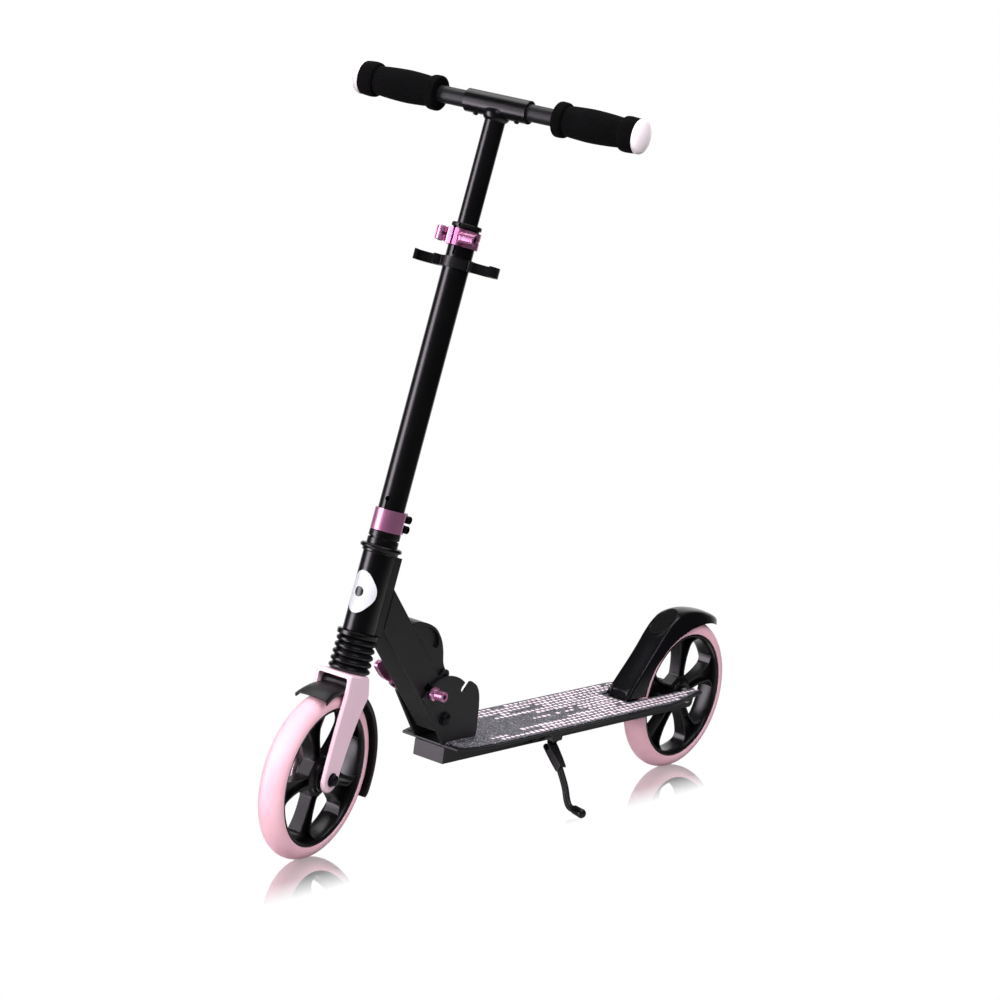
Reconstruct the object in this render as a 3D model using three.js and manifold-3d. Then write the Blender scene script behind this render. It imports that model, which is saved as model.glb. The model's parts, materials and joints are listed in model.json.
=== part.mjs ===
// Folding kick scooter with two 200 mm wheels, standing on its kickstand.
// Units are millimetres. Seen from the rider: +X is forward, +Y is left, +Z is up.
// The scooter is drawn upright in its own frame and then leans left on the kickstand,
// with its handlebar turned a little to the left, as it does when it is parked.
import * as THREE from "three";
import { mergeVertices } from "three/addons/utils/BufferGeometryUtils.js";
import Module from "manifold-3d";

const wasm = await Module();
wasm.setup();

const radians = THREE.MathUtils.degToRad;

// ---------------------------------------------------------------- driving dimensions
const WHEEL_SIDES = 32; // facets round a wheel
const GAP = 0.3; // between pieces that touch
const PLAY = 0.6; // between pieces that slide or turn
const LEAN = radians(9.53);
const STEER_AT_REST = radians(8.56);

// Wheels
const WHEELBASE = 721.5;
const WHEEL_RADIUS = 100;
const TYRE_SECTION = 15.3; // radius of the round tyre section
const TYRE_ROOT_HALF = 9;
const RIM_DEPTH = 8.2; // from the rim's lip down to the tyre's seat
const RIM_LIP_BELOW_TREAD = 17.8;
const RIM_HALF_WIDTH = 14.8;
const HUB_RADIUS = 17.5;
const HUB_HALF_WIDTH = 14.5;
const SPOKES = 5;
const SPOKE_HALF_THICKNESS = 6;
const BEARING_RADIUS = 11;
const BEARING_WIDTH = 7;
const AXLE_RADIUS = 4;
const NUT_RADIUS = 7.5;
const NUT_HEIGHT = 8;
const REAR_NUT_RADIUS = 5.5; // clears the deck plate above it

// Deck
const SPINE_FRONT_X = WHEELBASE / 2 - 210.15;
const SPINE_BOTTOM = WHEEL_RADIUS - 14.7;
const SPINE_HEIGHT = 20.4;
const SPINE_HALF_WIDTH = 22.9;
const SPINE_WALL = 2.5;
const RAIL_THICKNESS = 4;
const WHEEL_CLEARANCE = 7; // from the tread to the end of the wheel slot
const DECK_THICKNESS = 3.1;
const DECK_HALF_WIDTH = 55;
const DECK_FRONT_HALF_WIDTH = 43;
const DECK_TAIL_HALF_WIDTH = 36;
const DECK_FLARE_LENGTH = 62;
const TAIL_PAST_AXLE = 13;
const TAPE_THICKNESS = 0.9;
const TAPE_MARGIN = 4;

// Fold joint
const PIVOT_X = SPINE_FRONT_X + 8.5;
const PIVOT_Z = SPINE_BOTTOM + 57.7;
const PIVOT_BOLT_RADIUS = 5;
const PIVOT_NUT_RADIUS = 8;
const HINGE_RADIUS = 51.6;
const HINGE_THICKNESS = 4;
const HINGE_FRONT_X = SPINE_FRONT_X + 3.9;
const HINGE_REAR_X = SPINE_FRONT_X - 58.8;
const HINGE_FRONT_ANGLE = radians(34.3);
const LOCK_RADIUS = 44; // lock bolt from the pivot
const LOCK_ANGLE = radians(51.5);
const FOLD_ANGLE = radians(82);
const LOCK_BOLT_RADIUS = 3.7;
const LOCK_TRAVEL = 9;
const LOCK_KNOB_RADIUS = 6;
const LOCK_KNOB_LENGTH = 17.5;

// Down tube
const DOWN_TUBE_ANGLE = radians(47.7);
const DOWN_TUBE_WIDTH = 36;
const DOWN_TUBE_DEPTH = 41;
const DOWN_TUBE_WALL = 2.5;
const DOWN_TUBE_CORNER = 5;
const DOWN_TUBE_SET_BACK = 7; // its centre line passes behind the pivot
const DOWN_TUBE_FOOT = 12; // reach below the pivot

// Fold lever
const LEVER_PIN_BACK = 8.5; // from the tube's rear face
const LEVER_PIN_UP = 38; // along the tube from the pivot
const LEVER_PIN_RADIUS = 2.5;
const LEVER_HALF_WIDTH = 12.5;
const LEVER_LENGTH = 100;
const LEVER_STAND_OFF = 29; // how far the pad stands behind the tube

// Steering head, measured along the steering axis from the front axle's foot
const HEAD_ANGLE = radians(12.34);
const FORK_OFFSET = 14.8;
const CROWN_TOP = WHEEL_RADIUS + 21.4;
const BELLOWS_LENGTH = 40;
const BELLOWS_RADIUS = 24.5;
const BELLOWS_RINGS = 5;
const CUP_HEIGHT_LOWER = 6.5;
const CUP_HEIGHT_UPPER = 9;
const CUP_RADIUS = 24.5;
const HEAD_TUBE_LENGTH = 92;
const HEAD_TUBE_RADIUS = 19.25;
const HEAD_TUBE_WALL = 2.5;
const NUT_STACK = 16;
const NUT_STACK_RADIUS = 18.3;
const STEERER_RADIUS = 13.5;
const STEERER_WALL = 1.8;
const SUSPENSION_TRAVEL = 15;
const FORK_HALF_WIDTH = 23.5;
const FORK_WALL = 4;
const CROWN_THICKNESS = 5;
const FORK_FOOT_RADIUS = 16.4;

// Column and handlebar
const COLUMN_RADIUS = 15.5;
const COLUMN_LENGTH = 355;
const LOWER_CLAMP_HEIGHT = 25;
const LOWER_CLAMP_RADIUS = COLUMN_RADIUS + 2.8;
const CLAMP_SLIT = 2.4;
const UPPER_CLAMP_HEIGHT = 19.2;
const UPPER_CLAMP_DROP = 2.5; // below the column's top
const UPPER_CLAMP_RADIUS = COLUMN_RADIUS + 3.1;
const UPPER_CLAMP_EAR = COLUMN_RADIUS + 13.5; // how far forward its ears reach
const BAR_CLIP_DROP = 35;
const BAR_CLIP_HEIGHT = 12;
const BAR_CLIP_REACH = 54.5; // from the column's axis to the tip of a jaw
const BAR_CLIP_WALL = 3.6;
const STEM_RADIUS = 12;
const STEM_WALL = 2;
const STEM_ABOVE_COLUMN = 143.5;
const STEM_LENGTH = 330;
const TEE_RADIUS = 13.5;
const TEE_HALF_LENGTH = 40.5;
const BAR_RADIUS = 10;
const BAR_WALL = 1.6;
const BAR_INNER_END = 5;
const GRIP_START = 74;
const GRIP_END = 182;
const GRIP_RADIUS = 18.4;
const GRIP_FLANGE_RADIUS = 20;
const END_CAP_LENGTH = 10;
const SNAP_BUTTON_Y = 27;
const SNAP_BUTTON_RADIUS = 3.2;

// Fenders and brake
const FENDER_INNER = WHEEL_RADIUS + 4.5;
const FENDER_THICKNESS = 2.2;
const FENDER_HALF_WIDTH = 18.8;
const FENDER_FRONT_ANGLE = radians(63);
const FENDER_REAR_ANGLE = radians(192);
const BRAKE_GAP = 8; // from the tread to the brake's underside
const BRAKE_THICKNESS = 3;
const BRAKE_HALF_WIDTH = 20.5;
const BRAKE_WALL = 2.2;
const BRAKE_SKIRT = 16; // depth of its side walls
const BRAKE_PIVOT_FORWARD = WHEEL_RADIUS + 24.7; // from the rear axle
const BRAKE_PIVOT_ABOVE_DECK = 9.5;
const BRAKE_REAR_ANGLE = radians(131);
const BRAKE_PIN_RADIUS = 3;

// Kickstand
const STAND_PIVOT = new THREE.Vector3(-48, 35, SPINE_BOTTOM - 3.3);
const STAND_FOOT_X = -12;
const STAND_FOOT_Y = 119;
const STAND_RADIUS = 5;
const STAND_FOOT_RADIUS = 6;

// ---------------------------------------------------------------- worked-out places
const HUB_X = WHEELBASE / 2;
const RIM_RADIUS = WHEEL_RADIUS - RIM_LIP_BELOW_TREAD;
const RIM_SEAT = RIM_RADIUS - RIM_DEPTH;
const SPINE_TOP = SPINE_BOTTOM + SPINE_HEIGHT;
const DECK_BOTTOM = SPINE_TOP + GAP;
const DECK_TOP = DECK_BOTTOM + DECK_THICKNESS;
const SLOT_HALF_WIDTH = SPINE_HALF_WIDTH - RAIL_THICKNESS;
const SLOT_FRONT_X = -HUB_X + WHEEL_RADIUS + WHEEL_CLEARANCE;
const HINGE_INNER_Y = SPINE_HALF_WIDTH - HINGE_THICKNESS;
const COLUMN_BORE = STEERER_RADIUS + GAP;
const BELLOWS_TOP = CROWN_TOP + GAP + BELLOWS_LENGTH;
const HEAD_TUBE_BOTTOM = BELLOWS_TOP + GAP + CUP_HEIGHT_LOWER + GAP;
const HEAD_TUBE_TOP = HEAD_TUBE_BOTTOM + HEAD_TUBE_LENGTH;
const NUTS_BOTTOM = HEAD_TUBE_TOP + GAP + CUP_HEIGHT_UPPER + GAP;
const COLUMN_BOTTOM = NUTS_BOTTOM + NUT_STACK + GAP;
const COLUMN_TOP = COLUMN_BOTTOM + COLUMN_LENGTH;
const LOWER_CLAMP_TOP = COLUMN_BOTTOM + LOWER_CLAMP_HEIGHT;
const UPPER_CLAMP_TOP = COLUMN_TOP - UPPER_CLAMP_DROP;
const BAR_HEIGHT = COLUMN_TOP + STEM_ABOVE_COLUMN;

// ---------------------------------------------------------------- finishes
const finish = (color, roughness, metalness = 0) =>
  new THREE.MeshStandardMaterial({ color, roughness, metalness });
const blackCoat = finish("#17161a", 0.42);
const glossBlack = finish("#0e0d10", 0.2);
const blackPlastic = finish("#18171a", 0.5);
const blackSteel = finish("#1d1c1f", 0.35, 0.6);
const foam = finish("#121214", 0.9);
const gripTape = finish("#4a484f", 0.95);
const pinkAnodised = finish("#d98bb9", 0.28, 0.85);
const palePink = finish("#f0d6e2", 0.35);
const tyrePink = finish("#f2c6d3", 0.55);
const brightSteel = finish("#b9bbc0", 0.25, 0.9);
const springSteel = finish("#8f9094", 0.3, 0.9);
const rubber = finish("#141416", 0.85);

// ---------------------------------------------------------------- shape helpers
function toSolid(geometry) {
  const bare = geometry.clone();
  bare.deleteAttribute("normal");
  bare.deleteAttribute("uv");
  const merged = mergeVertices(bare, 1e-4);
  const index = merged.index.array;
  const triVerts = [];
  for (let i = 0; i < index.length; i += 3) {
    const [a, b, c] = [index[i], index[i + 1], index[i + 2]];
    if (a !== b && b !== c && c !== a) triVerts.push(a, b, c);
  }
  const vertProperties = Float32Array.from(merged.attributes.position.array);
  return new wasm.Manifold(
    new wasm.Mesh({ numProp: 3, vertProperties, triVerts: Uint32Array.from(triVerts) }),
  );
}

function toGeometry(solid) {
  const mesh = solid.getMesh();
  const geometry = new THREE.BufferGeometry();
  geometry.setAttribute("position", new THREE.BufferAttribute(mesh.vertProperties, 3));
  geometry.setIndex(new THREE.BufferAttribute(mesh.triVerts, 1));
  geometry.computeVertexNormals();
  return geometry;
}

const join = (first, ...others) =>
  toGeometry(others.reduce((sum, other) => sum.add(toSolid(other)), toSolid(first)));
const cut = (first, ...tools) =>
  toGeometry(tools.reduce((rest, tool) => rest.subtract(toSolid(tool)), toSolid(first)));
const common = (first, second) => toGeometry(toSolid(first).intersect(toSolid(second)));

// Turns a shape drawn round the Y axis so that it lies round another axis.
function turned(geometry, axis) {
  if (axis === "z") geometry.rotateX(Math.PI / 2);
  if (axis === "x") geometry.rotateZ(-Math.PI / 2);
  return geometry;
}

// Solid of revolution from [radius, height] points listed anticlockwise.
function spin(profile, axis = "z", sides = 20) {
  const points = profile.map(([radius, height]) => new THREE.Vector2(radius, height));
  const first = points[0];
  const last = points[points.length - 1];
  if (first.x > 0 || last.x > 0) points.push(first.clone());
  return turned(new THREE.LatheGeometry(points, sides), axis);
}

const ring = (outer, inner, from, to, axis = "z", sides = 20) =>
  spin([[outer, from], [outer, to], [inner, to], [inner, from]], axis, sides);

function rod(radius, from, to, axis = "y", sides = 16) {
  const cylinder = new THREE.CylinderGeometry(radius, radius, to - from, sides);
  return turned(cylinder.translate(0, (from + to) / 2, 0), axis);
}

function block(x0, x1, y0, y1, z0, z1) {
  const box = new THREE.BoxGeometry(x1 - x0, y1 - y0, z1 - z0);
  return box.translate((x0 + x1) / 2, (y0 + y1) / 2, (z0 + z1) / 2);
}

// A side view drawn in X and Z, given thickness from one Y to another.
function sideProfile(shape, y0, y1, curveSegments = 8) {
  const options = { depth: y1 - y0, bevelEnabled: false, curveSegments };
  return new THREE.ExtrudeGeometry(shape, options).rotateX(Math.PI / 2).translate(0, y1, 0);
}

// A plan drawn in X and Y, given thickness from one Z to another.
function plan(shape, z0, z1, curveSegments = 8) {
  const options = { depth: z1 - z0, bevelEnabled: false, curveSegments };
  return new THREE.ExtrudeGeometry(shape, options).translate(0, 0, z0);
}

const outline = (points) => new THREE.Shape(points.map(([x, y]) => new THREE.Vector2(x, y)));

// A rectangle with round corners, centred on a point.
function roundedRectangle(cx, cy, width, height, corner) {
  const [x0, x1] = [cx - width / 2 + corner, cx + width / 2 - corner];
  const [y0, y1] = [cy - height / 2 + corner, cy + height / 2 - corner];
  const shape = new THREE.Shape();
  shape.absarc(x1, y1, corner, 0, Math.PI / 2);
  shape.absarc(x0, y1, corner, Math.PI / 2, Math.PI);
  shape.absarc(x0, y0, corner, Math.PI, 1.5 * Math.PI);
  shape.absarc(x1, y0, corner, 1.5 * Math.PI, 2 * Math.PI);
  return shape;
}

// A band between two radii and two angles, seen from the side.
function arcBand(inner, outer, start, end) {
  const shape = new THREE.Shape();
  shape.absarc(0, 0, outer, start, end, false);
  shape.absarc(0, 0, inner, end, start, true);
  return shape;
}

// A round-ended slot from the origin along +X, as a cutter across Y.
const slotCutter = (radius, length, y0, y1) =>
  join(rod(radius, y0, y1), block(0, length, y0, y1, -radius, radius));

function hexPrism(acrossFlats, from, to, axis = "y") {
  return rod(acrossFlats / Math.sqrt(3), from, to, axis, 6);
}

// A shank with a domed nut at each end, along Y. The nuts start at +-grip.
function domedBolt(shank, nut, grip, height) {
  const steps = 3;
  const profile = [];
  for (let i = 0; i <= steps; i += 1) {
    const turn = (i / steps) * (Math.PI / 2);
    profile.push([nut * Math.sin(turn), -grip - 1.5 - (height - 1.5) * Math.cos(turn)]);
  }
  profile.push([nut, -grip], [shank, -grip]);
  const mirrored = profile.map(([radius, y]) => [radius, -y]).reverse();
  return spin([...profile, ...mirrored], "y", 12);
}

function helix(radius, wire, height, turns, stepsPerTurn = 7) {
  const points = [];
  for (let i = 0; i <= turns * stepsPerTurn; i += 1) {
    const angle = (i / stepsPerTurn) * 2 * Math.PI;
    const z = (height * i) / (turns * stepsPerTurn);
    points.push(new THREE.Vector3(radius * Math.cos(angle), radius * Math.sin(angle), z));
  }
  return sweep(points, wire, turns * stepsPerTurn, 4);
}

function sweep(points, radius, steps, sides = 12) {
  const section = new THREE.Shape();
  section.absarc(0, 0, radius, 0, 2 * Math.PI);
  return new THREE.ExtrudeGeometry(section, {
    steps,
    curveSegments: Math.ceil(sides / 2),
    bevelEnabled: false,
    extrudePath: new THREE.CatmullRomCurve3(points),
  });
}

function part(parent, name, geometry, material) {
  const mesh = new THREE.Mesh(toGeometry(toSolid(geometry)), material);
  mesh.name = name;
  parent.add(mesh);
  return mesh;
}

function frame(parent, x = 0, y = 0, z = 0) {
  const group = new THREE.Group();
  group.position.set(x, y, z);
  parent.add(group);
  return group;
}

// Draws a geometry of one frame in the coordinates of another.
function seenFrom(target, source, geometry) {
  target.updateWorldMatrix(true, false);
  source.updateWorldMatrix(true, false);
  const matrix = target.matrixWorld.clone().invert().multiply(source.matrixWorld);
  return geometry.clone().applyMatrix4(matrix);
}

// ---------------------------------------------------------------- frames
const scooter = new THREE.Group();
const stand = frame(scooter);
stand.rotation.x = -LEAN;
const deck = frame(stand);
deck.name = "frame_deck";
const rearHub = frame(deck, -HUB_X, 0, WHEEL_RADIUS);
rearHub.name = "frame_rear_hub";
const front = frame(stand, PIVOT_X, 0, PIVOT_Z);
front.name = "frame_front";
const tube = frame(front);
tube.name = "frame_tube";
tube.rotation.y = Math.PI / 2 - DOWN_TUBE_ANGLE;

// The foot of the front axle on the steering axis, seen from the fold pivot.
const footX = HUB_X - FORK_OFFSET * Math.cos(HEAD_ANGLE);
const footZ = WHEEL_RADIUS - FORK_OFFSET * Math.sin(HEAD_ANGLE);
const head = frame(front, footX - PIVOT_X, 0, footZ - PIVOT_Z);
head.name = "frame_head";
head.rotation.y = -HEAD_ANGLE;
const steering = frame(head);
steering.name = "frame_steering";
steering.rotation.z = STEER_AT_REST;
const frontHub = frame(steering, FORK_OFFSET, 0, 0);
frontHub.name = "frame_front_hub";

// ---------------------------------------------------------------- wheels
function tyreShape() {
  const ringRadius = WHEEL_RADIUS - TYRE_SECTION;
  const shoulder = RIM_RADIUS + GAP;
  const root = RIM_SEAT + GAP;
  const reach = Math.acos((shoulder - ringRadius) / TYRE_SECTION);
  const steps = 6;
  const profile = [];
  for (let i = 0; i <= steps; i += 1) {
    const angle = -reach + (2 * reach * i) / steps;
    profile.push([ringRadius + TYRE_SECTION * Math.cos(angle), TYRE_SECTION * Math.sin(angle)]);
  }
  profile.push([shoulder, TYRE_ROOT_HALF], [root, TYRE_ROOT_HALF]);
  profile.push([root, -TYRE_ROOT_HALF], [shoulder, -TYRE_ROOT_HALF]);
  return spin(profile, "y", WHEEL_SIDES);
}

function coreShape(firstSpoke) {
  const channelHalf = TYRE_ROOT_HALF + GAP;
  const barrel = RIM_SEAT - 3;
  const rim = spin([
    [RIM_RADIUS, -RIM_HALF_WIDTH], [RIM_RADIUS, -channelHalf], [RIM_SEAT, -channelHalf],
    [RIM_SEAT, channelHalf], [RIM_RADIUS, channelHalf], [RIM_RADIUS, RIM_HALF_WIDTH],
    [RIM_RADIUS - 3, RIM_HALF_WIDTH], [barrel, RIM_HALF_WIDTH - 5],
    [barrel, 5 - RIM_HALF_WIDTH], [RIM_RADIUS - 3, -RIM_HALF_WIDTH],
  ], "y", WHEEL_SIDES);
  const pieces = [ring(HUB_RADIUS, BEARING_RADIUS - 2, -HUB_HALF_WIDTH, HUB_HALF_WIDTH, "y", 20)];
  const spoke = outline([
    [HUB_RADIUS - 3, -8], [barrel * 0.6, -9], [barrel + 1, -15],
    [barrel + 1, 15], [barrel * 0.6, 9], [HUB_RADIUS - 3, 8],
  ]);
  for (let i = 0; i < SPOKES; i += 1) {
    const arm = sideProfile(spoke, -SPOKE_HALF_THICKNESS, SPOKE_HALF_THICKNESS);
    pieces.push(arm.rotateY(-(firstSpoke + (2 * Math.PI * i) / SPOKES)));
  }
  const pocket = BEARING_WIDTH + GAP;
  return cut(
    join(rim, ...pieces),
    rod(BEARING_RADIUS + GAP, HUB_HALF_WIDTH - pocket, HUB_HALF_WIDTH + 1, "y", 20),
    rod(BEARING_RADIUS + GAP, -HUB_HALF_WIDTH - 1, pocket - HUB_HALF_WIDTH, "y", 20),
    rod(BEARING_RADIUS - 2, -HUB_HALF_WIDTH, HUB_HALF_WIDTH, "y", 20),
  );
}

function wheel(parent, name, firstSpoke) {
  const bore = AXLE_RADIUS + GAP;
  const inner = HUB_HALF_WIDTH - BEARING_WIDTH;
  part(parent, `${name}_tyre`, tyreShape(), tyrePink);
  part(parent, `${name}_wheel_core`, coreShape(firstSpoke), glossBlack);
  const bearing = () => ring(BEARING_RADIUS, bore, inner, HUB_HALF_WIDTH, "y", 16);
  part(parent, `${name}_bearing_left`, bearing(), brightSteel);
  part(parent, `${name}_bearing_right`, bearing().rotateX(Math.PI), brightSteel);
  const spacer = ring(AXLE_RADIUS + 2.5, bore, GAP - inner, inner - GAP, "y", 20);
  part(parent, `${name}_bearing_spacer`, spacer, brightSteel);
}

wheel(rearHub, "rear", radians(90));
wheel(frontHub, "front", radians(270));

// ---------------------------------------------------------------- deck
const tailX = -HUB_X - TAIL_PAST_AXLE;

function spineShape() {
  const side = new THREE.Shape();
  const corner = 7;
  side.moveTo(SPINE_FRONT_X, SPINE_BOTTOM);
  side.lineTo(SPINE_FRONT_X, SPINE_TOP);
  side.lineTo(tailX + corner, SPINE_TOP);
  side.absarc(tailX + corner, SPINE_TOP - corner, corner, Math.PI / 2, Math.PI);
  side.absarc(tailX + corner, SPINE_BOTTOM + corner, corner, Math.PI, 1.5 * Math.PI);
  const hollowHalf = SPINE_HALF_WIDTH - SPINE_WALL;
  return cut(
    sideProfile(side, -SPINE_HALF_WIDTH, SPINE_HALF_WIDTH, 4),
    block(SLOT_FRONT_X - 1, SPINE_FRONT_X - SPINE_WALL, -hollowHalf, hollowHalf,
      SPINE_BOTTOM + SPINE_WALL, SPINE_TOP - SPINE_WALL),
    block(tailX - 1, SLOT_FRONT_X, -SLOT_HALF_WIDTH, SLOT_HALF_WIDTH, SPINE_BOTTOM - 1, SPINE_TOP + 1),
    rod(AXLE_RADIUS + GAP, -SPINE_HALF_WIDTH - 1, SPINE_HALF_WIDTH + 1).translate(-HUB_X, 0, WHEEL_RADIUS),
  );
}

// Left half of the deck's edge, from the nose to the tail, then mirrored.
function deckOutline(margin, noseX, endX) {
  const flareX = SPINE_FRONT_X - DECK_FLARE_LENGTH;
  const taperX = SLOT_FRONT_X - 30;
  const widthAt = (x) => {
    if (x > flareX) {
      const share = (SPINE_FRONT_X - x) / DECK_FLARE_LENGTH;
      const rise = Math.sin((share * Math.PI) / 2);
      return DECK_FRONT_HALF_WIDTH + (DECK_HALF_WIDTH - DECK_FRONT_HALF_WIDTH) * rise;
    }
    if (x > taperX) return DECK_HALF_WIDTH;
    const share = (taperX - x) / (taperX - tailX);
    return DECK_HALF_WIDTH - (DECK_HALF_WIDTH - DECK_TAIL_HALF_WIDTH) * share;
  };
  const stations = [0, 0.2, 0.45, 0.7, 1].map((share) => SPINE_FRONT_X - share * DECK_FLARE_LENGTH);
  const xs = [noseX, ...stations.filter((x) => x < noseX - 1 && x > endX), taperX, endX];
  const left = xs.filter((x) => x >= endX).map((x) => [x, widthAt(x) - margin]);
  const right = left.map(([x, y]) => [x, -y]).reverse();
  return outline([...left, ...right]);
}

const brakePivotX = -HUB_X + BRAKE_PIVOT_FORWARD;
const brakePivotZ = DECK_TOP + BRAKE_PIVOT_ABOVE_DECK;
const brakeLugInner = BRAKE_HALF_WIDTH + PLAY;
const brakeLugOuter = brakeLugInner + 3.5;

function deckPlateShape() {
  const plate = plan(deckOutline(0, SPINE_FRONT_X, tailX), DECK_BOTTOM, DECK_TOP);
  const lug = new THREE.Shape();
  const reach = 7;
  lug.absarc(brakePivotX, brakePivotZ, reach, 0, Math.PI);
  lug.lineTo(brakePivotX - reach, DECK_TOP - 1);
  lug.lineTo(brakePivotX + reach, DECK_TOP - 1);
  return cut(
    join(plate, sideProfile(lug, brakeLugInner, brakeLugOuter), sideProfile(lug, -brakeLugOuter, -brakeLugInner)),
    block(tailX - 1, SLOT_FRONT_X, -SLOT_HALF_WIDTH, SLOT_HALF_WIDTH, DECK_BOTTOM - 1, DECK_TOP + 1),
    rod(BRAKE_PIN_RADIUS + GAP, -brakeLugOuter - 1, brakeLugOuter + 1).translate(brakePivotX, 0, brakePivotZ),
  );
}

function gripTapeShape() {
  const nose = SPINE_FRONT_X - 8;
  const end = brakePivotX + 14;
  const bottom = DECK_TOP + GAP;
  const sheet = plan(deckOutline(TAPE_MARGIN, nose, end), bottom, bottom + TAPE_THICKNESS);
  const channel = SPINE_HALF_WIDTH + 1.5;
  const opening = block(HINGE_REAR_X - 3, nose + 1, -channel, channel, bottom - 1, bottom + 2);
  return cut(sheet, opening);
}

function hingePlateShape(y0, y1) {
  const foot = DECK_TOP + GAP;
  const at = (radius, angle) => [radius * Math.cos(angle), radius * Math.sin(angle)];
  const side = new THREE.Shape();
  side.moveTo(HINGE_FRONT_X - PIVOT_X, foot - PIVOT_Z);
  side.lineTo(...at(HINGE_RADIUS, HINGE_FRONT_ANGLE));
  side.absarc(0, 0, HINGE_RADIUS, HINGE_FRONT_ANGLE, radians(131));
  side.lineTo(...at(HINGE_RADIUS + 9, radians(138.8)));
  side.quadraticCurveTo(-60, 30, HINGE_REAR_X + 1.5 - PIVOT_X, 8);
  side.lineTo(HINGE_REAR_X - PIVOT_X, foot + 7 - PIVOT_Z);
  side.lineTo(HINGE_REAR_X + 3 - PIVOT_X, foot - PIVOT_Z);
  const notch = () => slotCutter(LOCK_BOLT_RADIUS + GAP, 25, y0 - 1, y1 + 1).translate(LOCK_RADIUS, 0, 0);
  return cut(
    sideProfile(side, y0, y1, 9),
    notch().rotateY(-LOCK_ANGLE),
    notch().rotateY(-LOCK_ANGLE - FOLD_ANGLE),
    rod(PIVOT_BOLT_RADIUS + GAP, y0 - 1, y1 + 1),
  ).translate(PIVOT_X, 0, PIVOT_Z);
}

part(deck, "deck_plate", deckPlateShape(), blackCoat);
part(deck, "deck_spine", spineShape(), blackCoat);
part(deck, "grip_tape", gripTapeShape(), gripTape);
part(deck, "hinge_plate_left", hingePlateShape(HINGE_INNER_Y, SPINE_HALF_WIDTH), blackCoat);
part(deck, "hinge_plate_right", hingePlateShape(-SPINE_HALF_WIDTH, -HINGE_INNER_Y), blackCoat);
const pivotBolt = domedBolt(PIVOT_BOLT_RADIUS, PIVOT_NUT_RADIUS, SPINE_HALF_WIDTH + GAP, NUT_HEIGHT - 1);
part(deck, "fold_pivot_bolt", pivotBolt.translate(PIVOT_X, 0, PIVOT_Z), glossBlack);
const rearAxle = domedBolt(AXLE_RADIUS, REAR_NUT_RADIUS, SPINE_HALF_WIDTH + GAP, NUT_HEIGHT);
part(rearHub, "rear_axle", rearAxle, glossBlack);
part(deck, "brake_pivot_pin",
  rod(BRAKE_PIN_RADIUS, -brakeLugOuter - 2, brakeLugOuter + 2).translate(brakePivotX, 0, brakePivotZ), blackSteel);

// ---------------------------------------------------------------- kickstand
// The stand's foot touches the ground where the leaning scooter puts it.
const contactLift = TYRE_SECTION * (1 - Math.cos(LEAN));
const footCentreZ = (STAND_FOOT_RADIUS - contactLift + Math.sin(LEAN) * STAND_FOOT_Y) / Math.cos(LEAN);
const standFoot = new THREE.Vector3(STAND_FOOT_X, STAND_FOOT_Y, footCentreZ).sub(STAND_PIVOT);
const standDown = standFoot.clone().normalize();
const standAxis = standDown.clone().cross(new THREE.Vector3(-1, 0, 0)).normalize();
const standFrame = frame(deck, ...STAND_PIVOT.toArray());
standFrame.name = "frame_kickstand";
// Local Z runs along the fold axis and local X from the pivot to the foot.
const across = standAxis.clone().cross(standDown);
standFrame.setRotationFromMatrix(new THREE.Matrix4().makeBasis(standDown, across, standAxis));

function kickstandLegShape() {
  const length = standFoot.length();
  const hub = rod(7, -6, 6, "z", 20);
  const channel = block(0, 34, -6.5, 6.5, -5.5, 5.5);
  const lower = rod(STAND_RADIUS, 25, length - 14, "x", 14);
  return cut(join(hub, channel, lower), rod(3 + GAP, -8, 8, "z", 16));
}

function kickstandFootShape() {
  const length = standFoot.length();
  const steps = 3;
  const profile = [[0, length - 13.7], [STAND_FOOT_RADIUS, length - 13.7], [STAND_FOOT_RADIUS, length]];
  for (let i = 1; i <= steps; i += 1) {
    const turn = (i / steps) * (Math.PI / 2);
    profile.push([STAND_FOOT_RADIUS * Math.cos(turn), length + STAND_FOOT_RADIUS * Math.sin(turn)]);
  }
  profile[profile.length - 1][0] = 0;
  return spin(profile, "x", 16);
}

function kickstandBracketShape() {
  const side = SPINE_HALF_WIDTH + GAP;
  const base = block(-72, -20, side, side + 4, SPINE_BOTTOM + 2, SPINE_TOP - 1);
  const pin = seenFrom(deck, standFrame, rod(3, -11, 14, "z", 16));
  const collar = seenFrom(deck, standFrame, rod(6.5, 6.6, 14, "z", 12));
  const arm = block(-58, -38, side, 46, 92, SPINE_TOP - 1);
  const body = common(join(base, arm, collar), block(-90, 0, side, 60, 60, SPINE_TOP - 1));
  return join(body, pin);
}

part(standFrame, "kickstand_leg", kickstandLegShape(), blackCoat);
part(standFrame, "kickstand_foot", kickstandFootShape(), rubber);
part(deck, "kickstand_bracket", kickstandBracketShape(), blackCoat);

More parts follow.
